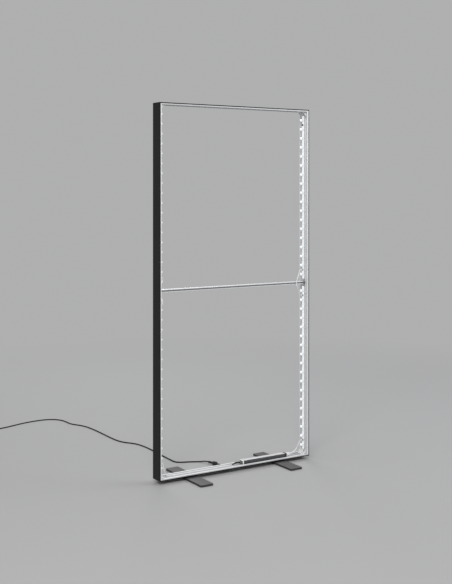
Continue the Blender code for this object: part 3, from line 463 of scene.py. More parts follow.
def onCircle(centre, radius, angle, height):
    return Vector((centre[0] + radius * math.cos(angle), centre[1] + radius * math.sin(angle), height))


coupler = dict(heading=-74, front=(-0.0344, 0.0996), gripCuts=6, bodyCuts=4, bootRings=6, steps=48, **inMm(
    lift=0.2, radius=11, half=43.6, spigot=4, grip=26, gripRadius=6.4, gripEnds=(0.4, 0.6, 0.8), neck=4,
    neckRadius=5.5, neckEnd=2.5, rim=7.6, flare=1.2, boot=24.5, bootRadius=5, shoulder=0.9, edge=0.5,
    spigotEdge=0.3, room=0.6, bodyStarts=(2.6, 2.4), bodyPitch=2.2, gripStart=4.5, gripPitch=3,
    bodyCut=((0, 0), (0.18, -0.6), (0.72, -0.6), (0.9, 0)),
    gripCut=((0, 0), (0.26, -0.7), (1.04, -0.7), (1.3, 0))))
couplerKey = dict(turn=81, **inMm(half=1.4, root=0.4, rise=0.25, start=2.0, end=1.0, edge=0.3))
couplerFront = Vector((*coupler["front"], coupler["radius"] + coupler["lift"]))
couplerAhead = onCircle((0, 0), 1, math.radians(coupler["heading"]), 0)
couplerBack = couplerFront - couplerAhead * (2 * coupler["half"] - coupler["spigot"] + seam)

mainsPlug = dict(bootRings=5, grooves=4, **inMm(
    boot=24, body=34, radius=18.5, lift=0.6, bootRadii=(5.3, 7.6), shoulder=((0, 10), (3, 12.6), (8.5, 15.6)),
    grooveStart=10, groovePitch=3, grooveRadius=15.9, grooveGrowth=0.62,
    grooveCut=((0, 0), (0.5, -0.7), (1.4, -0.6), (1.9, 0.35)), front=9, frontEdges=(1.6, 0.5), pin=2.4,
    pinLength=19, spacing=19, pinTip=((1.5, 0.3), (1.5, 0.9)), sleeve=10, sleeveEdge=0.4, sleeveRoot=1))
mainsCord = dict(turnsPerLayer=2, steps=24, coilCentre=(-0.8850, 1.6430),
                 fallShares=((0.30, 0.12), (0.62, 0.42), (0.86, 0.82)),
                 tailShares=(0.15, 0.3, 0.45, 0.6, 0.75, 0.9, 1.0), **inMm(
                     diameter=7.0, lift=0.2, coilRadius=38.4, pitch=7.6, layer=8.0, tail=56, gap=10))
cordTie = dict(steps=40, lap=(4, 15), squareness=3.2, wallShare=0.62,
               **inMm(wall=1.0, room=0.9, lapRise=0.35, width=10))
cordFloorRoute = [
    (-0.0829, 0.2326), (-0.1323, 0.2612), (-0.1819, 0.2777), (-0.2078, 0.3014), (-0.2066, 0.3504),
    (-0.2040, 0.4400), (-0.2000, 0.5200), (-0.1952, 0.5874), (-0.1948, 0.7048), (-0.2085, 0.7893),
    (-0.2648, 0.8677), (-0.2760, 0.9739), (-0.2735, 1.1322), (-0.2754, 1.2877), (-0.2899, 1.3878),
    (-0.3386, 1.4716), (-0.3400, 1.5400), (-0.3450, 1.6000), (-0.3750, 1.6550), (-0.4300, 1.6850),
    (-0.5200, 1.6850), (-0.6200, 1.6600), (-0.7200, 1.6200), (-0.7900, 1.6000)]


def coilPoint(c, turn):
    # in over the first layer, out over the second, climbing in the half turn between
    turns = c["turnsPerLayer"]
    radius = c["coilRadius"] + c["pitch"] * (abs(turns - turn) - turns / 2)
    rise = c["layer"] * eased(min(max((turn - turns) * 2 + 0.5, 0), 1))
    low = cordTie["wall"] + cordTie["room"] + c["diameter"] / 2 + seam
    return onCircle(c["coilCentre"], radius, -quarterTurn - 2 * math.pi * turn, low + rise)


def cordRoute(c):
    thick = c["diameter"]
    start = couplerBack - couplerAhead * seam
    floor = thick / 2 + c["lift"]
    leadOut = start - couplerAhead * 2 * thick
    fall = Vector((*cordFloorRoute[0], floor)) - leadOut
    route = [start, leadOut]
    for share, down in c["fallShares"]:
        spot = leadOut + fall * share
        route.append(Vector((spot.x, spot.y, leadOut.z + (floor - leadOut.z) * down)))
    route += [Vector((x, y, floor)) for x, y in cordFloorRoute]
    winding = [coilPoint(c, i / c["steps"]) for i in range(2 * c["turnsPerLayer"] * c["steps"] + 1)]
    leadIn = winding[0] + Vector((2 * thick, 0, 0))
    join = leadIn + Vector((2 * thick, 0, 0))
    route += [join + Vector((3 * thick, 0, 0)), join]
    climb = mainsPlug["radius"] + mainsPlug["lift"] - winding[-1].z
    tail = [winding[-1] + Vector((-c["tail"] * share, 0, climb * eased(share))) for share in c["tailShares"]]
    end = tail[-1] - Vector((thick, 0, 0))
    return smoothRoute(route, c["gap"])[:-1] + [join, leadIn] + winding + tail + [end], end


def boot(length, small, large, count, cut=0.6 * mm):
    # tapered sleeve with cuts round it, its small end at z = 0
    profile = [(0, 0), (0, small)]
    for i in range(count):
        low, middling, high = [small + (large - small) * (i + share) / count for share in (0.12, 0.62, 1)]
        for share, radius in ((0.08, low), (0.6, middling), (0.66, middling - cut), (0.94, high - cut)):
            profile.append((length * (i + share) / count, radius))
    return profile + [(length, large)]


def rings(start, pitch, radii, cut):
    # the same cut round a turned piece, again and again
    return [(start + i * pitch + rise, radius + step) for i, radius in enumerate(radii) for rise, step in cut]


def makeCoupler(c, k):
    r, half, edge, foot = c["radius"], c["half"], c["edge"], c["boot"]
    ring, bore = half - c["spigot"], 0.7 * r
    # the lead's half: a tapering boot, a shoulder and the thick body with its grooves
    ahead = boot(0.9 * foot, 0.74 * c["bootRadius"], c["bootRadius"], c["bootRings"])
    ahead += [(0.94 * foot, 1.1 * c["bootRadius"]), (foot, 0.88 * r), (foot + c["shoulder"], r)]
    ahead += rings(foot + c["bodyStarts"][0], c["bodyPitch"], [r] * c["bodyCuts"], c["bodyCut"])
    ahead += [(ring - edge, r), (ring, r - edge), (ring, bore), (half - c["spigotEdge"], bore),
              (half, 0.66 * r), (half, 0)]
    # the cord's half: a grip, a narrow neck and the flared rim
    g, grip, neck, rim = c["gripRadius"], c["grip"], c["neckRadius"], half - c["rim"]
    first, before, after = c["gripEnds"]
    behind = [(0, 0), (0, 0.86 * g), (first, 0.92 * g), (0.1 * grip, g)]
    behind += rings(c["gripStart"], c["gripPitch"], [g] * c["gripCuts"], c["gripCut"])
    behind += [(grip - before, g), (grip + after, 0.95 * g), (grip + c["neck"], neck),
               (grip + c["neck"] + c["neckEnd"], 1.18 * neck), (rim - c["flare"], 0.8 * r), (rim, 0.95 * r),
               (rim + c["flare"], r)]
    behind += rings(rim + c["bodyStarts"][1], 0, [r], c["bodyCut"])
    wall, floor = bore + c["room"], ring - c["room"]
    behind += [(half - edge, r), (half, r - edge), (half, wall), (floor, wall), (floor, 0)]
    socket, plug = turned(ahead, c["steps"]), turned(behind, c["steps"])
    # a raised key along the body shows how the halves go together
    key = block((-k["half"], r - k["root"], foot + k["start"]), (k["half"], r + k["rise"], ring - k["end"]),
                k["edge"], 2)
    put(socket, key, Matrix.Rotation(math.radians(k["turn"]), 4, "Z"))
    front, back = facing(-couplerAhead, couplerFront), facing(couplerAhead, couplerBack)
    piece("couplerSocket", moved(socket, front), rubberMoulded, ["coupler_socket"], angle=40)
    return piece("couplerPlug", moved(plug, back), rubberMoulded, ["coupler_plug"], angle=40)


def wovenBand(name):
    f = Finish(name, Sheen_Weight=0.3, Roughness=0.75)
    x, y, z = f.axes("xyz")
    weft = (x * 5200).wave() * ((z + y) * 5200).wave()
    fuzz = f.noise(3000, 3)
    return f.set(Base_Color=f.mix(fuzz, (0.012, 0.012, 0.013), (0.045, 0.045, 0.047)),
                 Normal=f.bump(weft * 0.5 + fuzz, 0.25 * mm, 0.8))


def makeTie(t, c):
    # hook band round the bundle, its free end lapped over once
    angle = -quarterTurn - math.pi
    halves = [(c[span] + c["diameter"]) / 2 + t["room"] for span in ("pitch", "layer")]
    spot = onCircle(c["coilCentre"], c["coilRadius"], angle, halves[1] + t["wall"] + seam)
    power = t["squareness"]  # squarer than an ellipse, as a band over two by two strands is
    band = bmesh.new()
    for grow, first, last in ((0.0, 0, t["steps"]), (t["lapRise"], *t["lap"])):
        points = []
        for i in range(first, last):
            turn = 2 * math.pi * i / t["steps"]
            way = Vector((math.cos(turn), 0, math.sin(turn)))
            spread = sum(abs(part / (half + grow)) ** power for part, half in zip((way.x, way.z), halves))
            points.append(way * spread ** (-1 / power) - Vector((0, t["width"] / 2, 0)))
        put(band, ribbon(points, (0, t["width"], 0), t["wall"] * t["wallShare"], (0, 0, 0),
                         closed=last - first == t["steps"]))
    return piece("cordTie", moved(band, at(spot) @ Matrix.Rotation(angle, 4, "Z")),
                 wovenBand("tieWeave"), ["cord_tie"], angle=50)


def makePlug(p, end):
    r, foot, face = p["radius"], p["boot"], p["boot"] + p["body"]
    profile = boot(0.92 * foot, *p["bootRadii"], p["bootRings"])
    profile += [(foot + rise, wide) for rise, wide in p["shoulder"]]
    grooved = [p["grooveRadius"] + i * p["grooveGrowth"] for i in range(p["grooves"])]
    profile += rings(foot + p["grooveStart"], p["groovePitch"], grooved, p["grooveCut"])
    deep, fine = p["frontEdges"]
    profile += [(face - p["front"], r), (face - deep, r), (face - fine, r - fine), (face, r - deep)]
    shell, pins, sleeves = turned(profile + [(face, 0)], 64), bmesh.new(), bmesh.new()
    pin, core, length, sleeve, root = p["pin"], p["pin"] * 0.94, p["pinLength"], p["sleeve"], p["sleeveRoot"]
    shaft, tip = p["pinTip"]
    metal = [(0, 0), (0, core), (length - shaft[0], core), (length - shaft[1], tip[0]), (length, tip[1])]
    collar = [(-root, 0), (-root, pin), (sleeve - p["sleeveEdge"], pin), (sleeve, core), (sleeve, 0)]
    for sign in (-1, 1):
        spot = at((0, sign * p["spacing"] / 2, face))
        put(pins, turned(metal + [(length, 0)], 24), spot)
        put(sleeves, turned(collar, 24), spot)
    place = facing((-1, 0, 0), end - Vector((seam, 0, 0)))
    put(moved(shell, place), sleeves, place)
    body = piece("mainsPlug", shell, rubberMoulded, ["mains_plug"], angle=40)
    return [body, steel("mainsPins", moved(pins, place))]


cordPoints, cordEnd = cordRoute(mainsCord)
cordPiece = tube("mainsCord", cordPoints, mainsCord["diameter"], cordSkin,
                 ["mains_cord", "cord_coil"], sides=7)
couplerPlugPiece = makeCoupler(coupler, couplerKey)
tiePiece = makeTie(cordTie, mainsCord)
plugPieces = makePlug(mainsPlug, cordEnd)
tuple(cordPoints[0])
print("cord %.3f m" % sum((b - a).length for a, b in zip(cordPoints, cordPoints[1:])))


# lens strips, sockets and plugs
lensBar = dict(count=18, steps=22, screwEvery=4, **inMm(
    inner=21.75, length=945, boardFace=15.8, boardThick=1.2, boardHalf=9.0, boardEdge=0.15, lensFoot=8.0,
    lensHeight=20.2))
# height and width of the foot ring, waist and dome, and how brightly each height glows
lensShares = [(0.0, 0.0, 0.3), (0.0, 1.0, 0.3), (0.045, 1.0, 0.35), (0.06, 0.97, 0.4), (0.065, 0.83, 0.5),
              (0.20, 0.85, 0.6), (0.42, 0.92, 0.7), (0.60, 0.99, 0.85), (0.645, 1.0, 0.9), (0.73, 0.93, 1.0),
              (0.82, 0.79, 1.0), (0.90, 0.60, 1.0), (0.96, 0.38, 1.0), (0.99, 0.19, 1.0), (1.0, 0.0, 1.0)]
chip = inMm(corners=((0, -2, -1.6), (0.9, 2, 1.6)), edge=0.2)
pad = inMm(corners=((0, 4, 3.4), (0.55, 6, 4.7)), edge=0.12)
tracks = inMm(wide=(6.6, 0.55), narrow=(3.4, 0.3))  # place across the board and half its width
lensPitch = lensBar["length"] / lensBar["count"]
socketNear = lensBar["inner"] + lensPitch
socketFar = lensBar["inner"] + lensBar["length"] - lensPitch
ends = dict(upper=1, lower=-1)


def lensPlastic(name):
    # each lens carries how brightly it glows, from its foot to its tip
    f = Finish(name, Base_Color=(0.46, 0.475, 0.49), Coat_Weight=0.6, Emission_Strength=1.0)
    ripples = f.noise(1500, 2)
    return f.set(Emission_Color=f.mix(f.attribute("glow"), (0.05, 0.055, 0.06), (0.60, 0.62, 0.64)),
                 Roughness=0.06 + ripples * 0.08, Normal=f.bump(ripples, 0.02 * mm, 0.3))


def boardMask(name, pitch, start):
    # white board with two tracks along each half, lit from its lenses in step with their pitch
    f = Finish(name, Emission_Strength=0.5)
    y, z = f.axes("yz")
    wide, narrow = [abs(abs(y) - spot) < half for spot, half in tracks.values()]
    copper = wide.most(narrow)
    beat = ((abs(z - middle) - start) * (2 * math.pi / pitch)).wave()
    mottle = f.noise(700, 3)
    base = f.mix(copper * 0.75, (0.86, 0.87, 0.87), (0.70, 0.72, 0.71))
    near = f.ramp(1 - abs(beat), (0.0, 0.35), (1.0, 1.0))
    return f.set(Base_Color=f.mix(mottle * 0.25, base, (0.80, 0.82, 0.82)),
                 Emission_Color=f.mix(near, (0.46, 0.47, 0.48), (0.64, 0.66, 0.68)),
                 Roughness=0.34 + mottle * 0.12 - copper * 0.06,
                 Normal=f.bump(copper + mottle * 0.2, 0.05 * mm, 0.6))


def lensShape(c):
    bm = turned([(high * c["lensHeight"], wide * c["lensFoot"]) for high, wide, _ in lensShares], c["steps"])
    heights, glows = zip(*((high, glow) for high, _, glow in lensShares[1:]))
    layer = bm.verts.layers.float.new("glow")
    for vert in bm.verts:
        vert[layer] = np.interp(vert.co.z / c["lensHeight"], heights, glows)
    return asMesh("lens", moved(bm, facing((1, 0, 0))))


def makeLensStrip(c, side, end):
    start = c["inner"] if end == "upper" else -c["inner"] - c["length"]
    face = c["boardFace"]
    lenses, chips, screws = bmesh.new(), bmesh.new(), []
    lenses.verts.layers.float.new("glow")
    shape = lensShape(c)
    for i in range(c["count"]):
        before = set(lenses.verts)
        lenses.from_mesh(shape)
        bmesh.ops.translate(lenses, vec=(face, 0, start + (i + 0.5) * lensPitch),
                            verts=[v for v in lenses.verts if v not in before])
    bpy.data.meshes.remove(shape)
    board = block((face - c["boardThick"], -c["boardHalf"], start + seam),
                  (face, c["boardHalf"], start + c["length"] - seam), c["boardEdge"], 2)
    for i in range(1, c["count"]):
        height = start + i * lensPitch
        if min(abs(abs(height) - socketNear), abs(abs(height) - socketFar)) < 1 * mm:
            continue  # a socket stands here
        spot = (face, 0, height)
        if i % c["screwEvery"] == 2:
            screws.append(facing((1, 0, 0), spot))
        else:
            put(chips, block(*chip["corners"], chip["edge"], 2), at(spot))
        pairs(chips, pad["corners"], pad["edge"], [spot], segments=1)
    view, label, node = sideView(side), camel(side, end), "led_lens_strip_%s_%s" % (side, end)
    piece("lenses" + label, moved(lenses, view), lensClear, [node], angle=50)
    piece("board" + label, moved(board, view), boardFinish)
    piece("chips" + label, moved(chips, view), chipMoulded)
    steel("boardScrews" + label, moved(screwsAt("board", screws), view))


lampSocket = inMm(
    size=9, height=5, corner=0.7, wall=1.4, floor=1.5, pin=((-0.25, -0.25, 1.5), (0.25, 0.25, 4)),
    pinSpot=1.25, latch=((-1.6, 4.4, 1.2), (1.6, 5.2, 4.6)), latchEdge=0.25,
    rib=((3.6, -4.85, 0), (4.2, -4.3, 3.4)), ribEdge=0.1)
lampPlug = dict(ribs=3, **inMm(
    size=7.8, length=8.5, corner=0.7, nose=((-2.7, -2.7, -3.2), (2.7, 2.7, 0.5)), noseEdge=0.3,
    latch=((-1.4, 3.8, -1.6), (1.4, 4.65, 3.9)), latchEdge=0.3, rib=((3.7, -2.7, 1.3), (4.2, 2.7, 1.9)),
    ribPitch=1.3, ribEdge=0.15, collar=((0, 3.6), (0.8, 3.5), (1.2, 3.15)), tip=((0.4, 2.7), (0, 2.4))))
socketBase = lensBar["boardFace"] + seam
socketFace = socketBase + lampSocket["height"]
plugEnd = socketFace + seam + lampPlug["length"]


def makeSocket(c, side, end, spot, height):
    half, tall = c["size"] / 2, c["height"]
    bm = block((-half, -half, 0), (half, half, tall), c["corner"], 3, lambda e: edgeSpan(e, "z") > tall / 2)
    pocket(bm, topFaces(bm, tall), c["wall"], tall - c["floor"])
    put(bm, block(*c["latch"], c["latchEdge"], 2))
    pairs(bm, c["rib"], c["ribEdge"], flip=(-1, 1, 1), segments=1)
    pins = bmesh.new()
    for x in (-c["pinSpot"], c["pinSpot"]):
        for y in (-c["pinSpot"], c["pinSpot"]):
            put(pins, block(*c["pin"]), at((x, y, 0)))
    stand = sideView(side) @ facing((1, 0, 0), (socketBase, 0, height))
    label, node = camel(side, end, spot), "led_socket_%s_%s_%s" % (side, end, spot)
    piece("socket" + label, moved(bm, stand), blackMoulded, [node])
    piece("socketPins" + label, moved(pins, stand), pinMetal)


def makeLampPlug(c, node, label, side, height):
    half, end = c["size"] / 2, seam + c["length"]
    bm = block((-half, -half, seam), (half, half, seam + 0.62 * c["length"]), c["corner"], 3)
    put(bm, block(*c["nose"], c["noseEdge"], 2))
    put(bm, block(*c["latch"], c["latchEdge"], 2))
    spots = [(0, 0, i * c["ribPitch"]) for i in range(c["ribs"])]
    pairs(bm, c["rib"], c["ribEdge"], spots, (-1, 1, 1), 1)
    top = seam + 0.6 * c["length"]
    profile = [(top, 0)] + [(top + rise, wide) for rise, wide in c["collar"]]
    put(bm, turned(profile + [(end - back, wide) for back, wide in c["tip"]] + [(end, 0)], 28))
    stand = sideView(side) @ facing((1, 0, 0), (socketFace, 0, height))
    piece(label, moved(bm, stand), whiteMoulded, [node])


lensClear = lensPlastic("lensClear")
boardFinish = boardMask("boardMask", lensPitch, lensBar["inner"])
for side in ("left", "right"):
    for end, sign in ends.items():
        makeLensStrip(lensBar, side, end)
        makeSocket(lampSocket, side, end, "near", sign * socketNear)
        makeSocket(lampSocket, side, end, "far", sign * socketFar)
        makeLampPlug(lampPlug, "jumper_plug_%s_%s" % (side, end), "jumperPlug" + camel(side, end), side,
                     sign * socketNear)
    makeLampPlug(lampPlug, "feed_plug_" + side, "feedPlug" + camel(side), side, -socketFar)
print("lens bars made")


# white leads; shares of the way up, out from the bar and back from the middle
jumperShares = dict(
    right=[(1, 0, 0), (1, 0.1, 0), (0.94, 0.22, 0.02), (0.81, 0.31, 0.14), (0.54, 0.59, 0.55),
           (0.28, 0.88, 0.92), (0, 1, 1)],
    left=[(1, 0, 0), (1, 0.42, 0), (0.93, 0.88, 0.03), (0.8, 1, 0.2), (0.5, 0.95, 0.75), (0.25, 0.8, 1),
          (0, 0.75, 1)])
# shares of the way in, of the fall and, on the left, of the way back
rightFallShares = [(0, 0), (0.05, 0), (0.14, 0.08), (0.2, 0.23), (0.28, 0.44), (0.39, 0.64), (0.56, 0.83),
                   (0.8, 0.96), (0.94, 1), (1, 1)]
leftFallShares = [(0, 0, 0), (0.1, 0, 0), (0.22, 0.1, 0.1), (0.32, 0.28, 0.2), (0.52, 0.6, 0.5),
                  (0.74, 0.86, 0.8), (1, 1, 1)]
lead = dict(bulge=inMm(right=44.9, left=9.0), **inMm(
    diameter=4.4, clearance=0.6, crossbarHalf=12, besideCrossbar=3, landing=42, gap=3, longGap=4))
driver = dict(length=0.300, right=0.345, **inMm(
    width=30, height=22, cap=10, gland=5.2, glandLength=9, edge=3, footEdge=0.5, strapAt=22, strapWidth=10,
    strapThick=1.2, strapFoot=5.8, strapBend=(0.25, 0.8), strapEdge=0.25, junction=(22, 18, 15), lidDrop=1.3,
    collarFrom=3.2, seamHalf=0.45, seamDeep=0.7, rib=(5.2, 6.8, 0.3, 0.25), ribEdge=0.2, capEdge=1.4,
    capScrewAt=(10.5, 5.2, 0.05), neck=(0.1, 1.6, 2, 2.1),
    neckCut=((0, -0.7), (0.6, -0.7), (0.75, 0), (1.7, -0.1))))
driverLeft = driver["right"] - driver["length"]
driverBase = lightFrame["lift"] + lightFrame["trackTop"] + seam
driverTop = driverBase + driver["height"]
driverAxis = driverBase + driver["height"] / 2
junctionStart = driver["right"] + driver["glandLength"] + 2 * seam


def whiteTube(name, route, gap, node):
    tube(name, smoothRoute(route, gap), lead["diameter"], whiteLead, [node])


def makeJumpers(c):
    out = plugEnd + seam
    back = c["crossbarHalf"] + c["diameter"] / 2 + c["besideCrossbar"]
    for side, shares in jumperShares.items():
        half = [Vector((out + o * c["bulge"][side], b * back, up * socketNear)) for up, o, b in shares]
        route = half + [Vector((p.x, p.y, -p.z)) for p in reversed(half[:-1])]
        points = [sideView(side) @ p for p in smoothRoute(route, c["gap"])]
        tube("jumper" + camel(side), points, c["diameter"], whiteLead, ["jumper_" + side])


def makeFeeds(c, d):
    feedHeight = middle - socketFar
    out = plugEnd + seam
    length, depth, height = d["junction"]
    run = halfWidth - out - junctionStart - length - seam
    whiteTube("feedLeadRight", [(halfWidth - out - o * run, 0, feedHeight - down * (feedHeight - driverAxis))
                                for o, down in rightFallShares], c["gap"], "feed_lead_right")
    thick = c["diameter"]
    onWeb = lightFrame["lift"] + lightFrame["web"] + thick / 2 + c["clearance"]
    overStrap = onWeb + d["strapThick"] + c["clearance"]
    beside = lightFrame["boxBack"] - thick / 2 - c["clearance"]
    behind = (d["width"] / 2 + d["strapThick"] + seam + lightFrame["boxBack"]) / 2
    joint = junctionStart + length / 2
    bend = 3 * thick
    strap = driverLeft + d["strapAt"]
    landing = c["landing"] + 2.7 * bend
    halfRun = (driverLeft + halfWidth - landing) / 2
    # down the upright, along the web beside the rear box, over the strap's foot and up into the junction
    route = [(-halfWidth + out + o * (landing - out), b * beside, feedHeight - down * (feedHeight - onWeb))
             for o, down, b in leftFallShares]
    route += [(x, beside, onWeb) for x in (-halfWidth + landing + halfRun / 2, -halfWidth + landing + halfRun,
                                           driverLeft - 2 * bend)]
    route += [(strap - 2 * bend, behind, onWeb), (strap, behind, overStrap),
              (strap + 2 * bend, behind, onWeb), ((strap + joint) / 2, behind, onWeb),
              (joint - 4 * bend, behind, onWeb), (joint - bend, behind, driverAxis - 0.25 * height),
              (joint - 0.25 * bend, behind - 0.3 * thick, driverAxis - 0.05 * height),
              (joint, depth / 2 + 1.2 * thick, driverAxis), (joint, depth / 2 + seam, driverAxis)]
    whiteTube("feedLeadLeft", route, c["longGap"], "feed_lead_left")


makeJumpers(lead)
makeFeeds(lead, driver)


# driver, its strap, junction and input lead
def driverPaint(name, collarFrom=None):
    # light satin top as painted light and dark grey sides below it as painted shade; the left cap's end is
    # greyed with painted shade as well, and the white next to the case is its own colour
    f = Finish(name)
    x, z = f.axes("xz")
    # the top is painted light and the sides below it painted shade
    lid = z > driverTop - driver["lidDrop"]
    dieLines, patches = drawnGrain(f, "x")
    satin = f.mix(dieLines * 0.6 + patches * 0.4, (0.66, 0.665, 0.675), (0.76, 0.765, 0.775))
    grey = f.mix(patches, (0.062, 0.063, 0.066), (0.085, 0.086, 0.09))
    paint, metal = f.mix(lid, grey, satin), lid * 0.4
    # on the left cap, painted shade greys the end up to where the cap's own white begins, with painted light
    # on its top
    if collarFrom:
        collar = x > collarFrom
        paint = f.mix(collar, f.mix(lid, (0.19, 0.19, 0.193), satin), (0.90, 0.90, 0.89))
        metal = metal * (1 - collar)
    return f.set(Base_Color=paint, Metallic=metal, Roughness=0.42 + dieLines * 0.14 - lid * 0.06,
                 Normal=f.bump(dieLines, 0.03 * mm, 0.5))


def makeDriverCase(d, finish):
    half = d["width"] / 2
    low, high = driverLeft + d["cap"] + seam, d["right"] - d["cap"] - seam
    case = block((low, -half, driverBase), (high, half, driverTop))
    for upper, offset, segments in ((True, d["edge"], 6), (False, d["footEdge"], 2)):
        lengthways = [e for e in case.edges if edgeSpan(e, "x") > half]
        bevel(case, [e for e in lengthways if (e.verts[0].co.z > driverAxis) == upper], offset, segments)
    # a seam runs along both sides at mid height
    for level in (-d["seamHalf"], d["seamHalf"]):
        bmesh.ops.bisect_plane(case, geom=case.verts[:] + case.edges[:] + case.faces[:],
                               plane_co=(0, 0, driverAxis + level), plane_no=(0, 0, 1))
    sides = [f for f in case.faces
             if abs(f.normal.y) > 0.9 and abs(f.calc_center_median().z - driverAxis) < d["seamHalf"] / 2]
    for face in bmesh.ops.extrude_discrete_faces(case, faces=sides)["faces"]:
        bmesh.ops.translate(case, vec=-face.normal * d["seamDeep"], verts=face.verts)
    # two raised ribs run the length of the lid
    near, far, sink, rise = d["rib"]
    pairs(case, ((low, near, driverTop - sink), (high, far, driverTop + rise)), d["ribEdge"])
    piece("driverCase", case, finish, ["driver_case"])


def makeDriverCap(d, side, start, sign, finish):
    half, tall, top, g = d["width"] / 2, d["height"] / 2, d["cap"], d["gland"]
    cap = block((-half, -tall, 0), (half, tall, top), d["capEdge"], 4,
                lambda e: max(v.co.z for v in e.verts) > top / 2)
    root, plain, first, pitch = d["neck"]
    neck = [(top - root, 0), (top - root, g), (top + plain, g)]
    neck += rings(top + first, pitch, [g * share for share in (0.96, 0.91, 0.86)], d["neckCut"])
    put(cap, turned(neck + [(top + d["glandLength"], 0.8 * g), (top + d["glandLength"], 0)]))
    across, up, sink = d["capScrewAt"]
    screws = screwsAt("cap", [at((y, up, top - sink)) for y in (-across, across)])
    # the cap's Z runs out along the driver, its X across and its Y up
    stand = Matrix(((0, 0, sign, start), (1, 0, 0, 0), (0, 1, 0, driverAxis), (0, 0, 0, 1)))
    piece("driverCap" + camel(side), moved(cap, stand), finish, ["driver_cap_" + side])
    steel("driverCapScrews" + camel(side), moved(screws, stand))


junctionBox = inMm(edge=1.6, lidInset=(3, 2.4), lidSink=0.2, lidRise=0.5, lidEdge=0.4, sink=0.05,
                   grommet=((0, 3.4), (0.25, 3.5), (0.28, 2.4)))


def makeJunction(d, j):
    (length, width, height), start = d["junction"], junctionStart
    along, across = j["lidInset"]
    top = driverAxis + height / 2
    bm = block((start, -width / 2, driverAxis - height / 2), (start + length, width / 2, top), j["edge"], 4)
    put(bm, block((start + along, across - width / 2, top - j["lidSink"]),
                  (start + length - along, width / 2 - across, top + j["lidRise"]), j["lidEdge"], 3))
    put(bm, turned([(0, 0), *j["grommet"], (j["grommet"][-1][0], 0)], 28),
        facing((1, 0, 0), (start + length - j["sink"], 0, driverAxis)))
    piece("outputJunction", bm, whiteMoulded, ["output_junction"])


def makeStrap(d, finish):
    # a chain across the driver from foot to foot, drawn out along X and given its thickness
    inner, thick = d["width"] / 2 + seam, d["strapThick"]
    outer, foot = inner + thick, inner + d["strapFoot"]
    shelf = lightFrame["lift"] + lightFrame["web"] + seam + thick
    crown = driverTop + seam + thick
    radius = d["edge"] + thick
    near, far = d["strapBend"]
    half = [(0.0, crown), (outer - radius, crown)]
    half += [(outer - radius + radius * math.sin(a), crown - radius + radius * math.cos(a))
             for a in (quarterTurn * i / 6 for i in range(1, 6))]
    half += [(outer, crown - radius), (outer, shelf + far), (outer + near, shelf + near),
             (outer + far, shelf), (foot, shelf)]
    start = driverLeft + d["strapAt"] - d["strapWidth"] / 2
    points = [(start, -y, z) for y, z in reversed(half[1:])] + [(start, y, z) for y, z in half]
    bm = ribbon(points, (d["strapWidth"], 0, 0), thick, (start, 0, driverAxis))
    bevel(bm, sharpEdges(bm, 60), d["strapEdge"], 2, clamp=True)
    piece("driverStrap", bm, finish, ["driver_strap"])
    spots = [(start + d["strapWidth"] / 2, sign * (outer + foot) / 2, shelf) for sign in (-1, 1)]
    steel("strapScrews", screwsAt("strap", [at(spot) for spot in spots]))


# diameters to the left of the slot's middle, share of the way back to the coupler, share of the rise
inputLead = dict(sleeveShares=(1.5, 1.75), shares=[
    (3.95, 0.66, 0.19), (6.47, 0.486, 0.079), (7.05, 0.286, 0.03), (6.02, 0.103, 0.048),
    (3.88, -0.004, 0.127), (1.43, -0.01, 0.275), (0.3, 0, 0.387), (-1.7, 0, 0.722), (-3.72, -0.11, 0.979)],
    **inMm(diameter=6, lift=0.2, slotMiddle=-10.5, slotLane=14.6, sleeve=27, gap=1.5))


def makeInputLead(c, d):
    thick = c["diameter"]
    start = couplerFront + couplerAhead * seam
    gland = Vector((driverLeft - d["glandLength"] - seam, 0, driverAxis))
    low = thick / 2 + c["lift"]
    route = [start, start + couplerAhead * 2 * thick]
    route += [(c["slotMiddle"] - out * thick, c["slotLane"] + back * (start.y - c["slotLane"]),
               low + up * (gland.z - low)) for out, back, up in c["shares"]]
    points = smoothRoute(route + [gland - Vector((1.4 * thick, 0, 0)), gland], c["gap"])
    # a moulded sleeve with ribs holds the lead at the gland
    widths = [c["sleeveShares"][(i // 2) % 2] if (gland - point).length < c["sleeve"] else 1.0
              for i, point in enumerate(points)]
    tube("driverInputLead", points, thick, cordSkin, ["driver_input_lead"], widths=widths)


# the case and its strap share this painted light on top and painted shade on the sides
driverMetal = driverPaint("driverMetal")
makeDriverCase(driver, driverMetal)
makeDriverCap(driver, "left", driverLeft + driver["cap"], -1,
              driverPaint("driverCapPaint", driverLeft + driver["collarFrom"]))
makeDriverCap(driver, "right", driver["right"] - driver["cap"], 1, blackMoulded)
makeJunction(driver, junctionBox)
makeStrap(driver, driverMetal)
makeInputLead(inputLead, driver)
print("driver made")


# corner brackets, splices and the crossbar's ends
bracket = inMm(plateTop=9.8, railLeg=36, uprightLeg=31.25, softening=0.35, headGap=0.5,
               washer=((0, 2.6), (0, 5.4), (0.5, 5.4), (0.5, 2.6), (0, 2.6)))
bracketMetal = castAlloy("bracketMetal")


def softened(node, offset):
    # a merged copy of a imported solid, its flat faces joined and its edges eased
    bm = bmesh.new()
    bm.from_mesh(nodes[node].data)
    bmesh.ops.remove_doubles(bm, verts=bm.verts, dist=1e-6)
    bmesh.ops.dissolve_limit(bm, angle_limit=math.radians(1), verts=bm.verts, edges=bm.edges)
    bevel(bm, sharpEdges(bm, 30), offset, 2, clamp=True)
    return bm


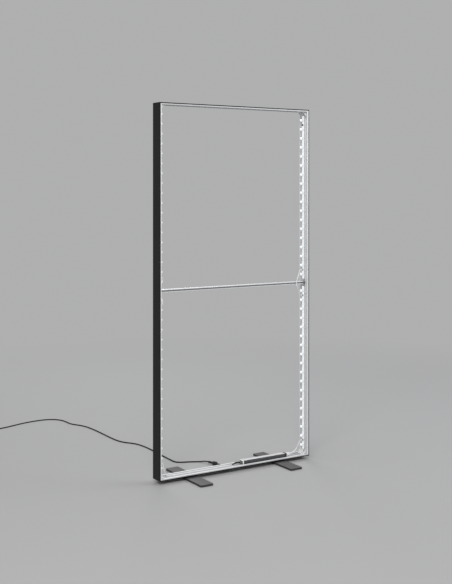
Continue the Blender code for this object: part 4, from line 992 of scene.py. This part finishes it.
def makeBracket(b, level, side):
    node, label = "corner_bracket_%s_%s" % (level, side), camel(level, side)
    sx, sz = -1 if side == "left" else 1, -1 if level == "bottom" else 1
    piece("bracket" + label, softened(node, b["softening"]), bracketMetal, [node])
    outer = Vector((sx * halfWidth, 0, middle + sz * lightFrame["height"] / 2))
    railSpot = outer + Vector((-sx * (b["plateTop"] + b["railLeg"]) / 2, 0, -sz * b["plateTop"]))
    sideSpot = outer + Vector((-sx * b["plateTop"], 0, -sz * (b["plateTop"] + b["uprightLeg"]) / 2))
    seats = ((railSpot, Vector((0, 0, -sz))), (sideSpot, Vector((-sx, 0, 0))))
    screws = screwsAt("bracket", [facing(way, spot + way * b["headGap"]) for spot, way in seats], 28)
    for spot, way in seats:
        put(screws, turned(b["washer"]), facing(way, spot))
    steel("bracketScrews" + label, screws)


splice = inMm(plate=((2.5, -7.7, -70), (5.1, 7.7, 70)), edge=0.3, heights=(-58, -14, 14, 58), screwFoot=5,
              grub=((0, 2.2), (1.2, 2.2), (1.2, 1.2), (0.5, 1.2), (0.5, 0)))


def makeSplice(c, side):
    bm = block(*c["plate"], c["edge"], 2)
    for height in c["heights"]:
        put(bm, turned(c["grub"], 24), facing((1, 0, 0), (c["screwFoot"], 0, height)))
    steel("splice" + camel(side), moved(bm, sideView(side)), "upright_splice_" + side)


crossbarEnd = dict(ribs=4, **inMm(
    body=((7.3, -12, -8), (21.8, 12, 8)), corner=1, tongue=((5.7, -3.6, -3.6), (8.3, 3.6, 3.6)),
    tongueEdge=0.4, rib=((9.9, 11.7, -5), (11, 12.4, 5)), ribPitch=2.6, ribEdge=0.25,
    buttonAt=(14.55, 0, 7.7), button=((0, 0), (0, 3.2), (1.1, 3.2), (1.5, 2.8), (1.5, 0))))
# the tone of the painted shade inside the crossbar's groove
crossbarGroove = dict(shade=(0.20, 0.20, 0.205), **inMm(half=3.6, bottom=9.6))


def makeCrossbarEnd(c, side):
    bm = block(*c["body"], c["corner"], 3)
    put(bm, block(*c["tongue"], c["tongueEdge"], 2))
    # ribbed grips on both faces and a spring button on top
    pairs(bm, c["rib"], c["ribEdge"], [(i * c["ribPitch"], 0, 0) for i in range(c["ribs"])])
    put(bm, turned(c["button"]), at(c["buttonAt"]))
    piece("crossbarEnd" + camel(side), moved(bm, sideView(side)), greyMoulded,
          ["crossbar_end_" + side])


for level in ("bottom", "top"):
    for side in ("left", "right"):
        makeBracket(bracket, level, side)
for side in ("left", "right"):
    makeSplice(splice, side)
for side in ("left", "right"):
    makeCrossbarEnd(crossbarEnd, side)
print("corners and crossbar ends made")


# feet
foot = dict(spacing=0.580, length=0.380, width=0.075, **inMm(
    thick=12, corner=3, edge=1.2, bore=10, boreDepth=6.5, hole=4.4, through=2, screwTop=4.8,
    spacerRadius=28, spacerHeight=5.4, spacerEdge=(0.2, 0.25, 0.8), spacerGroove=(0.3, 0.5),
    nut=(9, 7.6, 2.4), nutEdge=0.3))
# the darkest colour here is painted shade for the plate's sides
footPaint = dict(coat=(0.064, 0.062, 0.066), light=(0.092, 0.090, 0.094), edge=(0.20, 0.198, 0.198),
                 flank=(0.034, 0.033, 0.035), **inMm(flankTop=10.6, flankDeep=0.6, rim=1.1))


def footCoat(name, centre, f, c):
    # dark powder coat with orange peel, thinner along the plate's top edges; the plate's sides below the top
    # edge are darkened with painted shade
    m = Finish(name, IOR=1.5)
    x, y, z = m.axes("xyz")
    peel = m.noise(620, 3, rough=0.55)
    speck = m.noise(2600, 2)
    haze = m.ramp(m.noise(24, 5, rough=0.7), (0.42, 0.0), (0.78, 1.0))
    worn = m.ramp(m.noise(160, 4, rough=0.7), (0.5, 0.0), (0.62, 1.0))
    scrape = m.ramp(m.noise(1.0, 6, (420, 30, 30), 0.7), (0.66, 0.0), (0.74, 1.0))
    inside = (f["width"] / 2 - abs(x - centre)).least(f["length"] / 2 - abs(y))
    rim = (inside < c["rim"]) * (z > c["flankTop"]) * worn
    # painted shade on the plate's sides below the top edge
    flank = (inside < c["flankDeep"]) * (z < c["flankTop"])
    coat = m.mix(flank, m.mix(haze * 0.6 + speck * 0.3, c["coat"], c["light"]), c["flank"])
    return m.set(Base_Color=m.mix((rim * 0.8).most(scrape * 0.35), coat, c["edge"]),
                 Roughness=0.46 + haze * 0.12 + peel * 0.08,
                 Normal=m.bump(peel + speck * 0.25, 0.16 * mm, 0.6))


def cut(bm, tool):
    # takes a tool's shape out of a solid
    made = [linked("cutting", asMesh("cutting", part)) for part in (bm, tool)]
    step = made[0].modifiers.new("cut", "BOOLEAN")
    step.operation, step.solver, step.object = "DIFFERENCE", "EXACT", made[1]
    graph = bpy.context.evaluated_depsgraph_get()
    result = bmesh.new()
    result.from_mesh(made[0].evaluated_get(graph).to_mesh())
    for thing in made:
        bpy.data.meshes.remove(thing.data)
    return result


def footPlate(f):
    half, long, thick = f["width"] / 2, f["length"] / 2, f["thick"]
    plate = block((-half, -long, 0), (half, long, thick), f["corner"], 8,
                  lambda e: edgeSpan(e, "z") > thick / 2)
    bevel(plate, sharpEdges(plate, 60), f["edge"], 4)
    bore, hole, over = f["bore"], f["hole"], f["through"]
    return cut(plate, turned([(-over, 0), (-over, bore), (f["boreDepth"], bore), (f["boreDepth"], hole),
                              (thick + over, hole), (thick + over, 0)], 48))


def footSpacer(f):
    # a disc with eased rims and a groove round its middle
    r, h = f["spacerRadius"], f["spacerHeight"]
    fine, rise, edge = f["spacerEdge"]
    floor, lip = f["spacerGroove"]
    half = [(0, f["hole"]), (0, r - edge), (rise, r - fine), (edge, r), (h / 2 - lip, r),
            (h / 2 - floor, r - lip)]
    return turned(half + [(h - up, wide) for up, wide in reversed(half)] + half[:1], 72)


def makeFoot(f, side, x):
    label, over = camel(side), at((x, 0, 0))
    plate, coat = moved(footPlate(f), over), footCoat("footCoat" + label, x, f, footPaint)
    piece("foot" + label, plate, coat, ["foot_" + side], body="foot_" + side)
    spacer = moved(footSpacer(f), at((x, 0, f["thick"] + seam)))
    piece("footSpacer" + label, spacer, spacerNylon, ["foot_spacer_" + side])
    # the screw goes up from below into a plate nut that sits in the rail's slot
    shank = lightFrame["lift"] + f["screwTop"] - f["boreDepth"]
    screw = capScrew(**screwSizes["foot"], shank=shank, steps=40)
    flipped = at((x, 0, f["boreDepth"] - seam)) @ Matrix.Rotation(math.pi, 4, "X")
    steel("footScrew" + label, moved(screw, flipped), "foot_screw_" + side)
    floor = lightFrame["lift"] + lightFrame["web"] + seam
    long, wide, high = f["nut"]
    nut = block((x - long, -wide, floor), (x + long, wide, floor + high), f["nutEdge"], 2)
    steel("footNut" + label, nut)


makeFoot(foot, "left", -foot["spacing"] / 2)
makeFoot(foot, "right", foot["spacing"] / 2)
print("feet made")


# finishes of the solids that stay
railColours = dict(black=(0.0052, 0.0047, 0.0044), rubbed=(0.035, 0.033, 0.032), **inMm(
    skin=1.95, lip=5.3, lipBack=26.5, boxFace=10.9, crestBack=29.5, corner=0.55))
# lit and shaded copies of one aluminium: the uprights' tones are raised as painted light from the lenses, and
# the top and bottom rails' lowered as painted shade
levelTones = dict(silver=(0.72, 0.725, 0.735), dull=(0.60, 0.605, 0.62), crest=(0.86, 0.865, 0.875),
                  step=(0.42, 0.422, 0.43))
uprightTones = dict(silver=(0.90, 0.905, 0.91), dull=(0.82, 0.825, 0.835), crest=(0.94, 0.945, 0.95),
                    step=(0.56, 0.562, 0.57))


def anodisedRail(name, axis, tones):
    # black anodised on the outer wall; black in the print groove too, which is painted shade there; natural
    # on everything inside, where the box faces carry a band of painted shade and a band of painted highlight
    c = railColours
    f = Finish(name, IOR=1.3)
    x, y, z = f.axes("xyz")
    inward = (halfWidth - abs(x)).least(lightFrame["height"] / 2 - abs(z - middle))
    deep = abs(y)
    # the outer wall's black is its own; the black in the print groove behind it is painted shade
    black = (inward < c["skin"]).most((inward < c["lip"]) * (deep > c["lipBack"]))
    dieLines, patches = drawnGrain(f, axis, 900, 5, 22)
    scuffs = f.ramp(f.noise(1.0, 5, along(axis, 14, 240), 0.65), (0.60, 0.0), (0.74, 1.0))
    silver = f.mix(dieLines * 0.7 + patches * 0.3, tones["dull"], tones["silver"])
    # on the box faces inside: a darker band nearer the middle is painted shade, a brighter band further out
    # painted highlight
    boxFace = f.mix(deep > c["crestBack"], tones["step"], tones["crest"])
    silver = f.mix(inward > c["boxFace"], silver, boxFace)
    corner = (deep > lightFrame["depth"] / 2 - c["corner"]) * (inward < c["corner"])
    worn = corner * f.ramp(patches, (0.42, 0.0), (0.62, 1.0)) * 0.8
    dark = f.mix(worn.most(scuffs * 0.16), c["black"], c["rubbed"])
    roughSilver = 0.36 + dieLines * 0.16 + patches * 0.04
    roughBlack = 0.40 + patches * 0.12 + scuffs * 0.08
    return f.set(Base_Color=f.mix(black, silver, dark), Metallic=(1 - black) * 0.45,
                 Roughness=roughSilver * (1 - black) + roughBlack * black,
                 Normal=f.bump(dieLines, 0.04 * mm, 0.5))


# the uprights take the lit copy, the top and bottom rails the shaded copy
railUpright = anodisedRail("railUpright", "z", uprightTones)
railLevel = anodisedRail("railLevel", "x", levelTones)
# the carriers' pale tones are painted light from the lenses beside them
carrierMetal = drawnAluminium("carrierMetal", "z", (0.82, 0.825, 0.835), (0.90, 0.905, 0.91))
for side in ("left", "right"):
    for end in ends:
        repaint("%s_upright_%s" % (side, end), railUpright)
        repaint("led_carrier_%s_%s" % (side, end), carrierMetal)
repaint("top_rail", railLevel)
repaint("bottom_rail", railLevel)
repaint("crossbar", drawnAluminium("crossbarMetal", "x", (0.80, 0.805, 0.82), (0.88, 0.885, 0.895),
                                   crossbarGroove))


# floor, backdrop and light
studio = dict(floor=(0.386, 0.384, 0.3845), tooth=(0.44, 0.438, 0.4385), haze=(0.43, 0.4315, 0.436),
              skylight=(0.96, 0.98, 1.0), worldLight=0.62, clear=1.7, gone=5.2, reach=90)


def makeFloor(s):
    bm = bmesh.new()
    bmesh.ops.create_circle(bm, cap_ends=True, segments=96, radius=s["reach"])
    mesh = asMesh("studioFloor", bm)
    # seen from afar the floor fades into the backdrop's tone, so no horizon shows
    f = Finish("floorPaper", Roughness=0.85)
    far = f.node("ShaderNodeVectorMath", dict(operation="LENGTH"), {0: f.place()}, out="Value")
    fade = f.node("ShaderNodeMapRange", dict(interpolation_type="SMOOTHSTEP"), {
        "Value": far, "From Min": s["clear"], "From Max": s["gone"]})
    tooth = f.noise(420, 3)
    paper = f.set(Base_Color=f.mix(tooth * 0.12, s["floor"], s["tooth"]), Normal=f.bump(tooth, 0.1 * mm, 0.2))
    backdrop = f.node("ShaderNodeEmission", inputs={"Color": s["haze"], "Strength": 1.0})
    own = Wire(f, f.shader.outputs[0])
    blend = f.node("ShaderNodeMixShader", inputs={0: fade * f.seen(), 1: own, 2: backdrop})
    f.feed(f.tree.nodes["Material Output"].inputs["Surface"], blend)
    mesh.materials.append(paper)
    linked("studioFloor", mesh)


def makeWorld(s):
    world = bpy.data.worlds.new("studio")
    bpy.context.scene.world = world
    world.use_nodes = True
    world.node_tree.nodes.clear()
    w = Nodes(world.node_tree)
    light = w.node("ShaderNodeBackground", inputs={"Color": s["skylight"], "Strength": s["worldLight"]})
    drop = w.node("ShaderNodeBackground", inputs={"Color": s["haze"], "Strength": 1.0})
    blend = w.node("ShaderNodeMixShader", inputs={0: w.seen(), 1: light, 2: drop})
    out = w.tree.nodes.new("ShaderNodeOutputWorld")
    w.feed(out.inputs["Surface"], blend)


lamps = dict(
    keyLamp=dict(place=(-3.2, -3.6, 4.4), aim=(0, 0, 0.9), size=2.6, power=150, tone=(1.0, 0.985, 0.965)),
    fillLamp=dict(place=(3.8, -2.4, 3.2), aim=(0, 0, 0.9), size=3.2, power=70, tone=(0.97, 0.985, 1.0)),
    rimLamp=dict(place=(1.2, 4.2, 4.0), aim=(0, 0, 1.0), size=2.4, power=80, tone=(1.0, 1.0, 1.0)))


def makeLamp(name, c):
    data = bpy.data.lights.new(name, "AREA")
    data.shape, data.size, data.energy, data.color = "SQUARE", c["size"], c["power"], c["tone"]
    made = linked(name, data)
    made.location = c["place"]
    made.rotation_euler = (Vector(c["aim"]) - Vector(c["place"])).to_track_quat("-Z", "Y").to_euler()


makeFloor(studio)
makeWorld(studio)
for name, values in lamps.items():
    makeLamp(name, values)
print("studio made")
